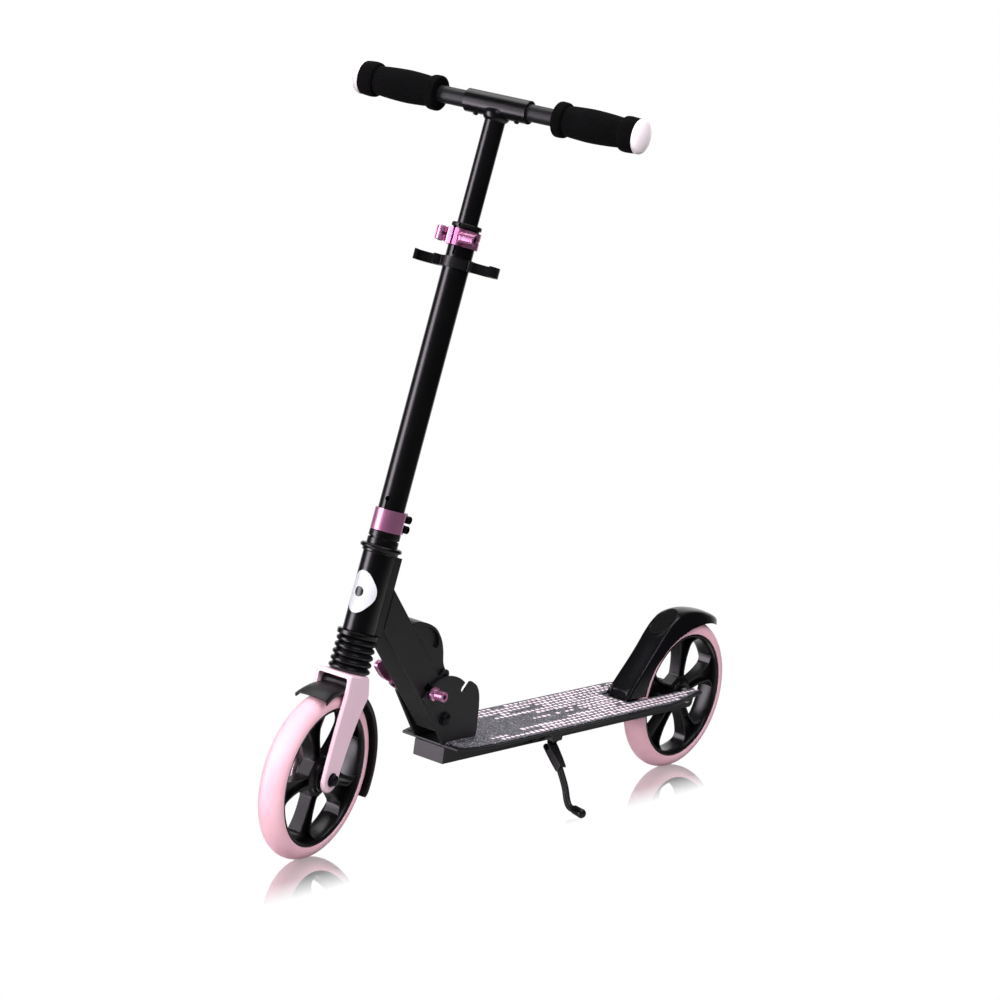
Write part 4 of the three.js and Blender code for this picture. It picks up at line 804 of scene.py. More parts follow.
def brake():
    """A moulded shell over the wheel, with a seat for its tread and a block for its hinge."""
    rings = []
    rows = [[*crest, *edge, half, ridge] for crest, edge, half, ridge in BRAKE_STATIONS]
    fine = eased([row[:3] for row in rows], 4)
    rest = eased([row[3:] for row in rows], 4)
    for a, b in zip(fine, rest):
        station = ((a[0], a[1]), (a[2], b[0]), b[1], b[2])
        outer = brake_section(*station)
        inner = brake_section(*station, inner=True)
        left = [*outer, *reversed(inner)]
        right = [(x, -y, z) for x, y, z in [*inner, *reversed(outer)]]
        rings.append([*left, *right[1:-1]])
    made = solid("brake_fender_moulding", loft(rings))
    base = rounded([(98, 10.6), (129.0, 10.6), (124.0, 17.0), (114.0, 27.0), (102, 27)], 2.0)
    holder = solid("brake_inner_rib", slab(base, -10.5, 10.5))
    carve(holder, "DIFFERENCE", shifted(bar(3.3, -30, 30), 124.7, 0, 18.6), bar(104.8, -30, 30, sides=128))
    soften(holder, 0.6)
    fit(holder, REAR_HUB, "brake", *PLASTIC)
    # A shallow oval seat for the tread, square to the crest's slope.
    carve(made, "DIFFERENCE", on_crest(slab(tread_outline(26.0, 14.6), -1.6, 30, "z")))
    soften(made, 0.5, 2, 40)
    fit(made, REAR_HUB, "brake", "black_plastic", POLISHED, ["brake_fender"], 50)


CREST_SLOPE = 33.5
CREST_PLACE = (48.5, 0.0, 103.6)


def tread_outline(long_half, wide_half):
    return oval(long_half, 0.0, wide_half, range(0, 360, 6))


def on_crest(shape):
    return shifted(spun(shape, CREST_SLOPE), *CREST_PLACE)


def brake_tread():
    """An oval pad with rows of small round studs."""
    shapes = [slab(tread_outline(25.4, 14.0), -2.4, -1.2, "z")]
    pitch = 3.0
    for i in range(-7, 8):
        for j in range(-4, 5):
            x = i * pitch
            y = (j + (i % 2) * 0.5) * pitch
            if (x / 23.8) ** 2 + (y / 12.6) ** 2 > 1:
                continue
            stud = [(0.0, -1.3), (1.05, -1.3), (0.95, -0.7), (0.6, -0.45), (0.0, -0.4)]
            shapes.append(shifted(turned(stud, "z", 10), x, y, 0))
    made = solid("brake_tread_pad", *[on_crest(shape) for shape in shapes])
    fit(made, REAR_HUB, "brake", "black_rubber", TREAD_RUBBER, ["brake_tread"])


brake()
brake_tread()

# ------------------------------------------------------------------ down tube, lock and fold lever
TUBE_REAR = -27.5
PIN_X = TUBE_REAR - 8.5
PIN_UP = 38.0


def down_tube():
    """A square tube from the fold bolt to the head tube, with two lugs for the fold lever."""
    section = rounded([(13.5, -18), (13.5, 18), (TUBE_REAR, 18), (TUBE_REAR, -18)], 4.5, 6)
    inside = rounded([(11.0, -15.5), (11.0, 15.5), (-25.0, 15.5), (-25.0, -15.5)], 2.5, 4)
    made = solid("down_tube_welded", slab(section, -12, 300, "z"))
    saddle_back = -22.4
    toward_head = TUBE.inverted() @ HEAD
    corners, faces = slab(oblong(saddle_back, 500, -300, 600), -100, 100)
    points = [tuple((toward_head @ (Vector(point) * MM)) / MM) for point in corners]
    window = slab(oblong(-7.3, 1.5, 39.5, 57.5), -20, 20)
    hole = bar(BOLT_HOLE, -20, 20)
    carve(made, "DIFFERENCE", slab(inside, -13, 301, "z"), (points, faces), window, hole)
    soften(made, 0.6, 2, 50)
    fit(made, TUBE, "front_frame", *COATED, ["down_tube"])
    lug = [*arc(PIN_X, PIN_UP, 6, 90, 270, 14), (TUBE_REAR + 0.6, PIN_UP - 6), (TUBE_REAR + 0.6, PIN_UP + 6)]
    lugs = soften(solid("fold_lever_lugs", slab(lug, 13.1, 16.6), slab(lug, -16.6, -13.1)), 0.6)
    fit(lugs, TUBE, "front_frame", *COATED)
    pin = domed_pin("fold_lever_pin", 2.5, 17.4, 0.9)
    fit(pin, moved(TUBE, PIN_X, 0, PIN_UP), "front_frame", *DARK_STEEL, ["lever_pin"])


def lock():
    """The bolt that drops into the hinge plates' notches, with its knob and its cam's seat."""
    shaft = [(0.0, -26.5), (3.6, -26.5), (3.6, 23.4), (0.0, 23.4)]
    fit(solid("lock_bolt_shaft", turned(shaft, "y", 40)), LOCK, "lock", *DARK_STEEL, ["lock_bolt"])
    knob = [(0.0, 23.4), (8.0, 23.4), (8.4, 23.8), (8.4, 26.6), (7.9, 27.2), (6.6, 28.0), (6.1, 29.2),
            (6.1, 39.6), (5.9, 40.4), (5.2, 40.9), (0.0, 40.9)]
    made = solid("lock_knob_turned", turned(knob, "y", 72))
    socket = slab(hexagon(6.0), 35.5, 45)
    carve(made, "DIFFERENCE", socket, turned([(0.0, 40.2), (4.1, 40.2), (4.6, 42.0), (0.0, 42.0)], "y", 48))
    fit(made, LOCK, "lock", *PINK_METAL, ["lock_knob"])
    # A dark disc just inside the hex socket is painted shade: it makes the socket read black.
    shade_plug = slab(hexagon(5.9), 38.6, 39.5)
    fit(solid("lock_knob_socket_shade", shade_plug), LOCK, "lock", *DARK_STEEL)
    seat = [(3.2, -26.9), (7.6, -26.9), (8.0, -26.5), (8.0, -23.8), (7.6, -23.4), (3.2, -23.4)]
    fit(solid("lock_cam_seat_ring", turned(seat, "y", 64)), LOCK, "lock", *PINK_METAL, ["lock_cam_seat"])


def fold_cam():
    """A cam and its lever, which lies along the tube's right side."""
    outline = eased([(-6, 0), (-6.2, 8), (-4.5, 14), (1, 22), (2.6, 32), (3.2, 42), (6.5, 46.2), (12.0, 47),
                     (15.4, 45), (15.8, 36), (14.6, 24), (10.5, 13), (6.4, 4), (6, 0)], 4)
    arm = soften(solid("fold_cam_arm", slab(outline, -3.5, 2.5)), 0.9)
    fit(arm, FOLD_CAM, "fold_cam", *PINK_METAL)
    made = solid("fold_cam_barrel", turned(edged(7.0, 6.0, 0.6), "x", 64))
    fit(made, FOLD_CAM, "fold_cam", *PINK_METAL, ["fold_cam_lever"])
    fit(solid("fold_cam_pin", turned(edged(2.6, 7.0, 0.4), "x", 32)), FOLD_CAM, "fold_cam", *DARK_STEEL)


def fold_lever():
    """A moulded paddle: a flat side along the tube and a swollen round thumb rest behind."""
    back = eased([(-5.2, -7), (-6.0, 4), (-8.2, 13), (-15.0, 24), (-20.6, 38), (-22.0, 55), (-18.0, 69),
                  (-9.5, 84), (-1.0, 94), (4.4, 97.4)], 5)
    front = [(6.6, 95.5), (7.0, 92), (7.0, 8), (5.0, -6)]
    made = solid("fold_lever_paddle", slab([*back, *front], -12.5, 12.5))
    carve(made, "DIFFERENCE", bar(2.8, -20, 20))
    soften(made, 2.4, 4, 50)
    # The lobe is dished on each side, so its edge reads as a round rim.
    dish = eased([(-13.0, 38), (-18.0, 46), (-18.6, 56), (-14.6, 68), (-7.4, 80.5), (-1.0, 87), (2.2, 82),
                  (-1.0, 70), (-3.4, 58), (-4.4, 46), (-8.0, 38.5), (-13.0, 38)], 5)[:-1]
    carve(made, "DIFFERENCE", slab(dish, 8.5, 14), slab(dish, -14, -8.5))
    fit(made, FOLD_LEVER, "fold_lever", *PLASTIC, ["fold_lever"])


down_tube()
lock()
fold_cam()
fold_lever()

# ------------------------------------------------------------------ steering head
HEAD_LOW = 168.8
HEAD_HIGH = 260.8
HEAD_RADIUS = 19.25
HEAD_BORE = 16.75


def head():
    """The head tube with a saddle behind it and a cup at each end."""
    profile = oblong(HEAD_BORE, HEAD_RADIUS, HEAD_LOW, HEAD_HIGH)
    made = solid("head_tube_welded", turned(profile, "z", 128))
    saddle = slab(oblong(-22.05, -9, -17, 17), HEAD_LOW, HEAD_HIGH, "z")
    block = solid("head_saddle", saddle)
    carve(block, "DIFFERENCE", bar(18.0, HEAD_LOW - 1, HEAD_HIGH + 1, "z", 96))
    soften(block, 0.9)
    fit(block, HEAD, "front_frame", "gloss_black", POWDER_COAT)
    soften(made, 0.5, 2, 60)
    fit(made, HEAD, "front_frame", *PAINTED, ["head_tube"])
    low = [(14.1, 162.0), (22.2, 162.0), (23.8, 162.6), (24.5, 164.0), (24.5, 167.4), (23.6, 168.5),
           (16.4, 168.5), (16.4, 180.5), (14.1, 180.5)]
    high = [(14.1, 270.1), (21.8, 270.1), (23.4, 269.5), (24.2, 268.2), (24.5, 266.6), (23.7, 265.3),
            (21.6, 264.6), (21.0, 263.4), (21.0, 261.7), (20.4, 261.1), (16.4, 261.1), (16.4, 249.0),
            (14.1, 249.0)]
    for level, profile in (("lower", low), ("upper", high)):
        cup = solid(f"headset_cup_{level}_turned", turned(profile, "z", 128))
        fit(cup, HEAD, "front_frame", *PAINTED, [f"headset_cup_{level}"])


MARK_MIDDLE = 214.0
MARK_HOLE = 6.0
MARK_ROWS = 88
MARK_SHARES = 8


def head_mark():
    """A plain mark: a rounded diamond with a small round hole, wrapped round the tube's front."""
    diamond = rounded([(27.0, 0.0), (0.0, 33.0), (-27.0, 0.0), (0.0, -33.0)], 20.0, 10)
    rings = []
    for t in range(MARK_ROWS):
        angle = 2 * math.pi * t / MARK_ROWS
        reach = reach_of(diamond, angle)
        row = []
        for share in range(MARK_SHARES + 1):
            r = MARK_HOLE + (reach - MARK_HOLE) * share / MARK_SHARES
            row.append((r * math.sin(angle), r * math.cos(angle)))
        rings.append(row)
    points = []
    faces = []
    wide = MARK_SHARES + 1
    for skin in (HEAD_RADIUS + 0.12, HEAD_RADIUS - 0.05):
        for row in rings:
            for across, up in row:
                turn = across / HEAD_RADIUS
                points.append((skin * math.cos(turn), skin * math.sin(turn), MARK_MIDDLE + up))
    back = MARK_ROWS * wide
    for i in range(MARK_ROWS):
        j = (i + 1) % MARK_ROWS
        for k in range(wide - 1):
            a, b, c, d = i * wide + k, i * wide + k + 1, j * wide + k + 1, j * wide + k
            faces.append((a, b, c, d))
            faces.append((d + back, c + back, b + back, a + back))
        for k in (0, wide - 1):
            a, b = i * wide + k, j * wide + k
            faces.append((a, b, b + back, a + back))
    fit(solid("head_mark_film", (points, faces)), HEAD, "front_frame", "pale_pink_coat", VINYL)


def reach_of(outline, angle):
    """How far an outline reaches from its middle in a direction, measured from its second axis."""
    way = Vector((math.sin(angle), math.cos(angle)))
    best = 0.0
    for i, point in enumerate(outline):
        a = Vector(point)
        b = Vector(outline[(i + 1) % len(outline)])
        edge = b - a
        cross = way.x * edge.y - way.y * edge.x
        if abs(cross) < 1e-9:
            continue
        along = (a.x * edge.y - a.y * edge.x) / cross
        share = (a.x * way.y - a.y * way.x) / cross
        if along > 0 and -1e-6 <= share <= 1 + 1e-6:
            best = max(best, along)
    return best


head()
head_mark()

# ------------------------------------------------------------------ steering column
COLUMN_LOW = 286.7
COLUMN_HIGH = 641.7
COLUMN_RADIUS = 15.5
COLUMN_BORE = 13.8
CLAMP_BORE = 15.8
SLIT_HALF = 1.2
SLIT_TOP = 323.7


def nuts():
    """Two round nuts on the steerer, with a groove between them."""
    profile = [(13.8, 270.4), (18.3, 270.4), (18.3, 276.8), (17.9, 277.4), (16.4, 277.7), (16.4, 278.6),
               (17.9, 278.9), (18.3, 279.5), (18.3, 285.6), (17.6, 286.4), (13.8, 286.4)]
    made = solid("headset_locknut", turned(profile, "z", 96))
    fit(made, STEERING, "steering", *PAINTED, ["headset_nut"])


def column():
    """The column, slit at both ends, with the steerer inside below and a bushing on top."""
    profile = oblong(COLUMN_BORE, COLUMN_RADIUS, COLUMN_LOW, COLUMN_HIGH)
    made = solid("column_drawn_tube", turned(profile, "z", 128))
    slit = oblong(0, 20, -SLIT_HALF, SLIT_HALF)
    keyhole = shifted(bar(3.0, 0, 20, "x"), 0, 0, SLIT_TOP)
    carve(made, "DIFFERENCE", slab(slit, COLUMN_LOW - 1, SLIT_TOP, "z"), keyhole,
          slab(slit, COLUMN_HIGH - 32, COLUMN_HIGH + 1, "z"))
    soften(made, 0.3, 2, 60)
    fit(made, STEERING, "steering", *PAINTED, ["column_tube"])
    steerer = oblong(11.7, 13.5, 153.7, 305.0)
    made = solid("steerer_drawn_tube", turned(steerer, "z", 96))
    fit(made, STEERING, "steering", *DARK_STEEL, ["steerer_tube"])
    bush = [(12.3, 614.0), (13.5, 614.0), (13.5, 641.9), (17.2, 641.9), (17.5, 642.3), (17.5, 645.4),
            (16.6, 646.5), (12.9, 646.7), (12.3, 646.1)]
    sleeve = solid("column_bushing_moulded", turned(bush, "z", 96))
    carve(sleeve, "DIFFERENCE", slab(slit, 600, 660, "z"))
    fit(sleeve, STEERING, "steering", *PLASTIC, ["column_bushing"])


LOWER_CLAMP_HEIGHT = 25
LOWER_BOLT_X = -22.3
LOWER_BOLTS = {"lower": 6.75, "upper": 18.25}
BOLT_HEAD = 4.6
BOLT_END = 15.4


def lower_clamp():
    """A smooth pink ring with two ears behind it, split between them and held by two bolts."""
    made = solid("lower_clamp_machined", bar(18.3, 0, LOWER_CLAMP_HEIGHT, "z", 128))
    ears = rounded(oblong(-26.8, -12, -8.5, 8.5, "high"), 2.5)
    carve(made, "UNION", slab(ears, 0, LOWER_CLAMP_HEIGHT, "z"))
    slit = slab(oblong(-40, 0, -SLIT_HALF, SLIT_HALF), -1, 26, "z")
    holes = [shifted(bar(2.8, -10, 10), LOWER_BOLT_X, 0, z) for z in LOWER_BOLTS.values()]
    scoop = slab(oblong(-40, -20.4, -20, 20), 11.4, 13.6, "z")
    carve(made, "DIFFERENCE", bar(CLAMP_BORE, -1, 26, "z", 128), slit, scoop, *holes)
    soften(made, 0.8)
    fit(made, moved(STEERING, z=COLUMN_LOW), "steering", *PINK_METAL, ["lower_clamp"])
    shank = [(0.0, -9.8), (2.5, -9.8), (2.5, 8.8)]
    cap = [(BOLT_HEAD, 8.8), (BOLT_HEAD, BOLT_END - 0.5), (BOLT_HEAD - 0.5, BOLT_END), (0.0, BOLT_END)]
    for level, z in LOWER_BOLTS.items():
        bolt = solid(f"clamp_bolt_{level}_capped", turned([*shank, *cap], "y", 48))
        carve(bolt, "DIFFERENCE", slab(hexagon(BOLT_HEAD * 1.05), BOLT_END - 2.6, BOLT_END + 2))
        fit(bolt, moved(STEERING, LOWER_BOLT_X, 0, COLUMN_LOW + z), "steering", *DARK_STEEL,
            [f"clamp_bolt_{level}"])


CLAMP_LOW = 620.0
CLAMP_HEIGHT = 19.2
CLAMP_MIDDLE = 9.6
CLAMP_BOLT_X = 23.5


def upper_clamp():
    """A pink split ring with ears in front, a socketed barrel on the left and a cam on the right."""
    made = solid("upper_clamp_machined", bar(18.6, 0, CLAMP_HEIGHT, "z", 128))
    ears = rounded(oblong(12, 27, -9, 9, "low"), 3.0)
    carve(made, "UNION", slab(ears, 0, CLAMP_HEIGHT, "z"))
    slit = slab(oblong(0, 40, -SLIT_HALF, SLIT_HALF), -1, 26, "z")
    groove = turned(oblong(18.0, 19.5, 8.3, 10.9), "z", 96)
    hole = shifted(bar(2.8, -12, 12), CLAMP_BOLT_X, 0, CLAMP_MIDDLE)
    carve(made, "DIFFERENCE", bar(CLAMP_BORE, -1, 26, "z", 128), slit, groove, hole)
    soften(made, 0.8)
    fit(made, moved(STEERING, z=CLAMP_LOW), "steering", *PINK_METAL, ["upper_clamp"])
    barrel = [(0.0, 9.3), (6.4, 9.3), (6.8, 9.8), (6.8, 12.6), (6.2, 13.2), (6.2, 14.2), (6.8, 14.8),
              (6.8, 27.2), (6.2, 28.2), (0.0, 28.2)]
    bolt = solid("height_clamp_barrel", turned(barrel, "y", 64))
    carve(bolt, "DIFFERENCE", slab(hexagon(7.0), 22.5, 32))
    place = moved(STEERING, CLAMP_BOLT_X, 0, CLAMP_LOW + CLAMP_MIDDLE)
    fit(bolt, place, "steering", *PINK_METAL, ["height_clamp_bolt"])
    # A dark disc just inside the hex socket is painted shade: it makes the socket read black.
    socket = solid("height_clamp_socket_shade", slab(hexagon(6.9), 26.4, 27.3))
    fit(socket, place, "steering", *DARK_STEEL)
    fit(solid("height_clamp_shank", bar(2.5, -9.2, 9.4)), place, "steering", *DARK_STEEL)


def height_cam():
    """A slotted cam with a black pin, and a lever that runs back round the column's right side."""
    made = solid("height_cam_barrel", turned(edged(6.5, 8.0, 0.6), "z", 64))
    slot = slab(oblong(-12, 12, -1.8, 1.8), 3, 20)
    carve(made, "DIFFERENCE", slot)
    soften(made, 0.35, 2)
    fit(made, HEIGHT_CAM, "height_cam", *PINK_METAL, ["height_cam_lever"])
    outside = eased([(4, -6), (-3, -7), (-8, -7.5), (-20, -10.2), (-34, -9.4), (-44, -5.0), (-48.5, -2)], 6)
    inside = eased([(-46, 2), (-40, -2.2), (-28, -5.6), (-18, -5.4), (-8, -2.5), (-1, -1.2), (4, -1)], 6)
    lever = soften(solid("height_cam_arm", slab([*outside, *inside], -7, 7, "z")), 1.1)
    fit(lever, HEIGHT_CAM, "height_cam", *PINK_METAL)
    fit(solid("height_cam_pin", turned(edged(2.7, 8.8, 0.4), "z", 32)), HEIGHT_CAM, "height_cam", *DARK_STEEL)


CLIP_LOW = 594.7
CLIP_HIGH = 606.7
JAW_X = 2
JAW_Y = 36.7
JAW_RADIUS = 17.8
JAW_BORE = 14.2


def bar_clip():
    """A moulded collar with two open jaws, which hold the handlebar halves when they are pulled out."""
    made = solid("bar_clip_moulding", bar(18.7, CLIP_LOW, CLIP_HIGH, "z", 96))
    bridge = rounded(oblong(-9, 7, -26, 26), 2.0)
    tab = rounded(oblong(-24, -13, -4.5, 4.5, "high"), 2.0)
    carve(made, "UNION", slab(bridge, CLIP_LOW, CLIP_HIGH, "z"), slab(tab, CLIP_LOW - 3, CLIP_HIGH, "z"))
    hook = [*arc(0, 0, JAW_RADIUS, 48, 312, 48), *arc(0, 0, JAW_BORE, 312, 48, 48)]
    bores = []
    for sign in (1, -1):
        carve(made, "UNION", shifted(slab(hook, CLIP_LOW, CLIP_HIGH, "z"), JAW_X, sign * JAW_Y, 0))
        bores.append(shifted(bar(JAW_BORE, CLIP_LOW - 1, CLIP_HIGH + 1, "z", 96), JAW_X, sign * JAW_Y, 0))
    carve(made, "DIFFERENCE", bar(CLAMP_BORE, CLIP_LOW - 8, CLIP_HIGH + 8, "z", 96), *bores)
    soften(made, 1.3, 4)
    fit(made, STEERING, "steering", *PLASTIC, ["bar_clip"])


nuts()
column()
lower_clamp()
upper_clamp()
height_cam()
bar_clip()

# ------------------------------------------------------------------ stem, bars and grips


STEM_RADIUS = 12.0
TEE_RADIUS = 13.5
TEE_HALF = 40.5
FLARE_LOW = -18.1
FLARE_HIGH = -6.0
WELD_RADIUS = 12.3
BUTTON_OUT = 27
BUTTON_HOLE = 3.5


def stem_tee():
    """The stem with a cross tube at its top, a flare under it, and a ring of weld between the two."""
    made = solid("stem_tee_welded", bar(STEM_RADIUS, -330, 0, "z", 128))
    flare = eased([(STEM_RADIUS, FLARE_LOW), (12.8, -17.3), (14.4, -15.6), (15.6, -13.2), (15.9, -10.0),
                   (15.0, FLARE_HIGH)], 4)
    fillet = turned([(0.0, FLARE_LOW), *flare, (0.0, FLARE_HIGH)], "z", 128)
    carve(made, "UNION", bar(TEE_RADIUS, -TEE_HALF, TEE_HALF, "y", 128))
    carve(made, "UNION", fillet)
    weld = []
    for i in range(72):
        t = 2 * math.pi * i / 72
        x, y = WELD_RADIUS * math.cos(t), WELD_RADIUS * math.sin(t)
        weld.append((x, y, -math.sqrt(TEE_RADIUS ** 2 - min(x * x, 13.4 ** 2)) - 0.2))
    holes = [shifted(bar(BUTTON_HOLE, -20, 0, "z"), 0, sign * BUTTON_OUT, 0) for sign in (1, -1)]
    carve(made, "DIFFERENCE", bar(10.3, -42, 42, "y", 96), bar(10.0, -331, 0, "z", 96), *holes)
    soften(made, 0.8, 3, 45)
    fit(made, STEM, "stem", *PAINTED, ["stem_tee"])
    bead = solid("stem_tee_weld", drawn_along(weld, 0.9, 10, loop=True))
    fit(bead, STEM, "stem", *PAINTED, sharp=80)


def half_bar(side, place):
    """Half the handlebar: tube, foam grip, end cap and snap button, drawn along Y."""
    tube = oblong(8.4, 10.0, 5.0, 181.0)
    made = solid(f"bar_{side}_tube", turned(tube, "y", 96))
    carve(made, "DIFFERENCE", shifted(bar(BUTTON_HOLE, -20, 0, "z"), 0, BUTTON_OUT, 0))
    fit(made, place, "stem", *COATED, [f"bar_{side}"])
    inner = eased([(17.6, 77.4), (19.4, 77.9), (20.3, 79.6), (20.4, 83.6), (20.0, 87.6), (18.9, 89.6),
                   (17.3, 90.4)], 4)
    barrel = eased([(17.3, 90.4), (17.5, 92.5), (18.2, 102), (19.0, 118), (18.8, 132), (17.9, 148),
                    (17.0, 158), (16.9, 161.4)], 4)
    outer = eased([(16.9, 161.4), (18.6, 161.9), (19.9, 163.6), (20.4, 168.4), (20.1, 174.4),
                   (19.5, 179.9)], 4)
    profile = [(10.3, 77.4), *inner, *barrel[1:], *outer[1:], (10.3, 179.9)]
    grip = solid(f"grip_{side}_foam", turned(profile, "y", 96))
    fit(grip, place, "stem", "black_foam", FOAM, [f"grip_{side}"], 60)
    cap_profile = [(0.0, 165), (8.1, 165), (8.1, 180.2), (18.9, 180.2), (19.6, 180.8), (19.8, 182.0),
                   (19.6, 184.0), (18.6, 186.0), (15.9, 187.7), (10.0, 189.0), (5.0, 189.6), (0.0, 189.8)]
    cap = solid(f"end_cap_{side}_moulded", turned(cap_profile, "y", 96))
    fit(cap, place, "stem", "pale_pink_coat", PINK_ABS, [f"end_cap_{side}"], 50)
    button = [(0.0, -15.7), (1.6, -15.5), (2.6, -14.8), (3.2, -13.4), (3.2, -6.4), (4.6, -6.4), (4.6, -4.2),
              (0.0, -4.2)]
    knob = solid(f"snap_button_{side}_turned", shifted(turned(button, "z", 40), 0, BUTTON_OUT, 0))
    fit(knob, place, f"snap_button_{side}", "bright_steel", BLACK_OXIDE, [f"snap_button_{side}"])


stem_tee()
half_bar("left", BAR["left"])
half_bar("right", BAR["right"])

# ------------------------------------------------------------------ fork, bellows and front fender
CROWN_TOP = 121.4
FORK_LEAD = 14.8


def bent(start, middle, end, steps=10):
    """A curve from start to end, pulled towards the middle point."""
    made = []
    for i in range(1, steps + 1):
        t = i / steps
        made.append(tuple(a * (1 - t) ** 2 + 2 * b * t * (1 - t) + c * t * t
                          for a, b, c in zip(start, middle, end)))
    return made


def fork():
    """Two legs and a crown in one pressed piece, with the suspension's slider above it."""
    side = [*arc(FORK_LEAD, 0, 16.4, 180, 360, 28), *bent((31.2, 0), (33.2, 50), (29.7, 97.4)), (32.0, 118.4),
            (30.2, CROWN_TOP), (-11.6, CROWN_TOP),
            *bent((-11.6, CROWN_TOP), (-17.1, 109.4), (-21.1, 101.4), 6), (-21.6, 96.4),
            *bent((-21.6, 96.4), (-7.6, 66.8), (-1.6, 0), 14)[:-1]]
    made = solid("fork_pressed", slab(side, -23.5, 23.5))
    soften(made, 3.2, 5, 40)
    opening = rounded([(-19.5, -60, 0), (19.5, -60, 0), (19.5, 116.4), (-19.5, 116.4)], 3.0, 4)
    channel = loft([[(x, y, z) for y, z in opening] for x in (-60, 60)])
    axle = shifted(bar(AXLE_HOLE, -30, 30), FORK_LEAD, 0, 0)
    carve(made, "DIFFERENCE", channel, axle, bar(11.4, 100, 130, "z"))
    soften(made, 0.7, 2, 50)
    fit(made, STEERING, "fork", "pale_pink_coat", PINK_COAT, ["fork"])
    slide = [(8.6, 112), (13.0, 111.5), (13.0, 116.0), (11.1, 116.2), (11.1, 195.7), (8.6, 195.7)]
    made = solid("suspension_slider_ground", turned(slide, "z", 64))
    fit(made, STEERING, "fork", *PALE_STEEL, ["suspension_slider"])


BELLOWS_LOW = 121.7
BELLOWS_HEIGHT = 40.0
BELLOWS_FOLDS = 5
BELLOWS_ROWS = 121


def shortened(piece):
    """Gives a piece its own copy of its mesh."""
    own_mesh(piece)


def bellows():
    """Five round folds of rubber."""
    top = 161.7
    outside = [(20.6, BELLOWS_LOW)]
    for i in range(1, BELLOWS_ROWS):
        z = BELLOWS_LOW + BELLOWS_HEIGHT * i / BELLOWS_ROWS
        wave = abs(math.sin(math.pi * i / BELLOWS_ROWS * BELLOWS_FOLDS)) ** 0.62
        taper = 1.0 - 0.05 * i / BELLOWS_ROWS
        outside.append(((20.0 + 4.5 * wave) * taper, z))
    profile = [*outside, (18.8, top), (18.0, top), (18.0, BELLOWS_LOW)]
    made = solid("bellows_moulded", turned(profile, "z", 128))
    fit(made, STEERING, "steering", "black_rubber", RUBBER, ["bellows"], 70)
    shortened(made)


SPRING_TURNS = 6
SPRING_STEPS = 24


def suspension_spring():
    """A coil in the steerer, on the slider's end."""
    corners = corners_of("suspension_spring", STEERING)
    low = min(corner.z for corner in corners) / MM + 1.5
    high = max(corner.z for corner in corners) / MM - 1.4
    count = SPRING_TURNS * SPRING_STEPS
    coil = []
    for i in range(count + 1):
        t = 2 * math.pi * i / SPRING_STEPS
        coil.append((8 * math.cos(t), 8 * math.sin(t), low + (high - low) * i / count))
    made = solid("suspension_spring_coil", drawn_along(coil, 1.4, 12))
    fit(made, STEERING, "steering", *PALE_STEEL, ["suspension_spring"], 60)
    shortened(made)


FENDER_START = 59
FENDER_END = 192
FENDER_STEPS = 72


def front_fender():
    """A band of one section round the tyre, widened at its nose, with a block under the crown."""
    rings = []
    for i in range(FENDER_STEPS + 1):
        angle = math.radians(FENDER_START + (FENDER_END - FENDER_START) * i / FENDER_STEPS)
        nose = max(0.0, 1 - i / 9)
        half = 18.8 + 3.0 * nose ** 1.5
        lift = -1.6 * nose ** 2
        tail = max(0.0, 1 - (FENDER_STEPS - i) / 2)
        half -= 1.5 * tail ** 2
        outer = [(0.0, 108.0), (half * 0.45, 107.6), (half * 0.8, 106.4), (half * 0.96, 104.6), (half, 102.4),
                 (half, 99.6)]
        inner = [(half - 1.9, 99.6), (half - 1.9, 102.2), (half * 0.86, 104.2), (half * 0.72, 104.8),
                 (half * 0.4, 105.6), (0.0, 105.9)]
        left = eased(outer, 3) + eased(inner, 3)
        section = [*left, *[(-y, r) for y, r in reversed(left[1:-1])]]
        rings.append([((r + lift) * math.cos(angle), y, (r + lift) * math.sin(angle)) for y, r in section])
    made = solid("front_fender_moulding", loft(rings))
    soften(made, 0.4, 2, 50)
    fit(made, FRONT_HUB, "fork", *PLASTIC, ["front_fender"], 50)
    block = rounded([(-36, 100), (8, 100), (8, 111), (2, 115.8, 3), (-30, 115.8), (-36, 108)], 1.5)
    mount = solid("front_fender_mount", slab(block, -18.9, 18.9))
    neck = shifted(bar(13.2, 90, 130, "z"), -FORK_LEAD, 0, 0)
    carve(mount, "DIFFERENCE", bar(104.9, -30, 30, sides=160), neck)
    soften(mount, 1.2)
    fit(mount, FRONT_HUB, "fork", *PLASTIC)


fork()
bellows()
suspension_spring()
front_fender()

# ------------------------------------------------------------------ kickstand


RETURN_TURNS = 15
RETURN_STEPS = 14


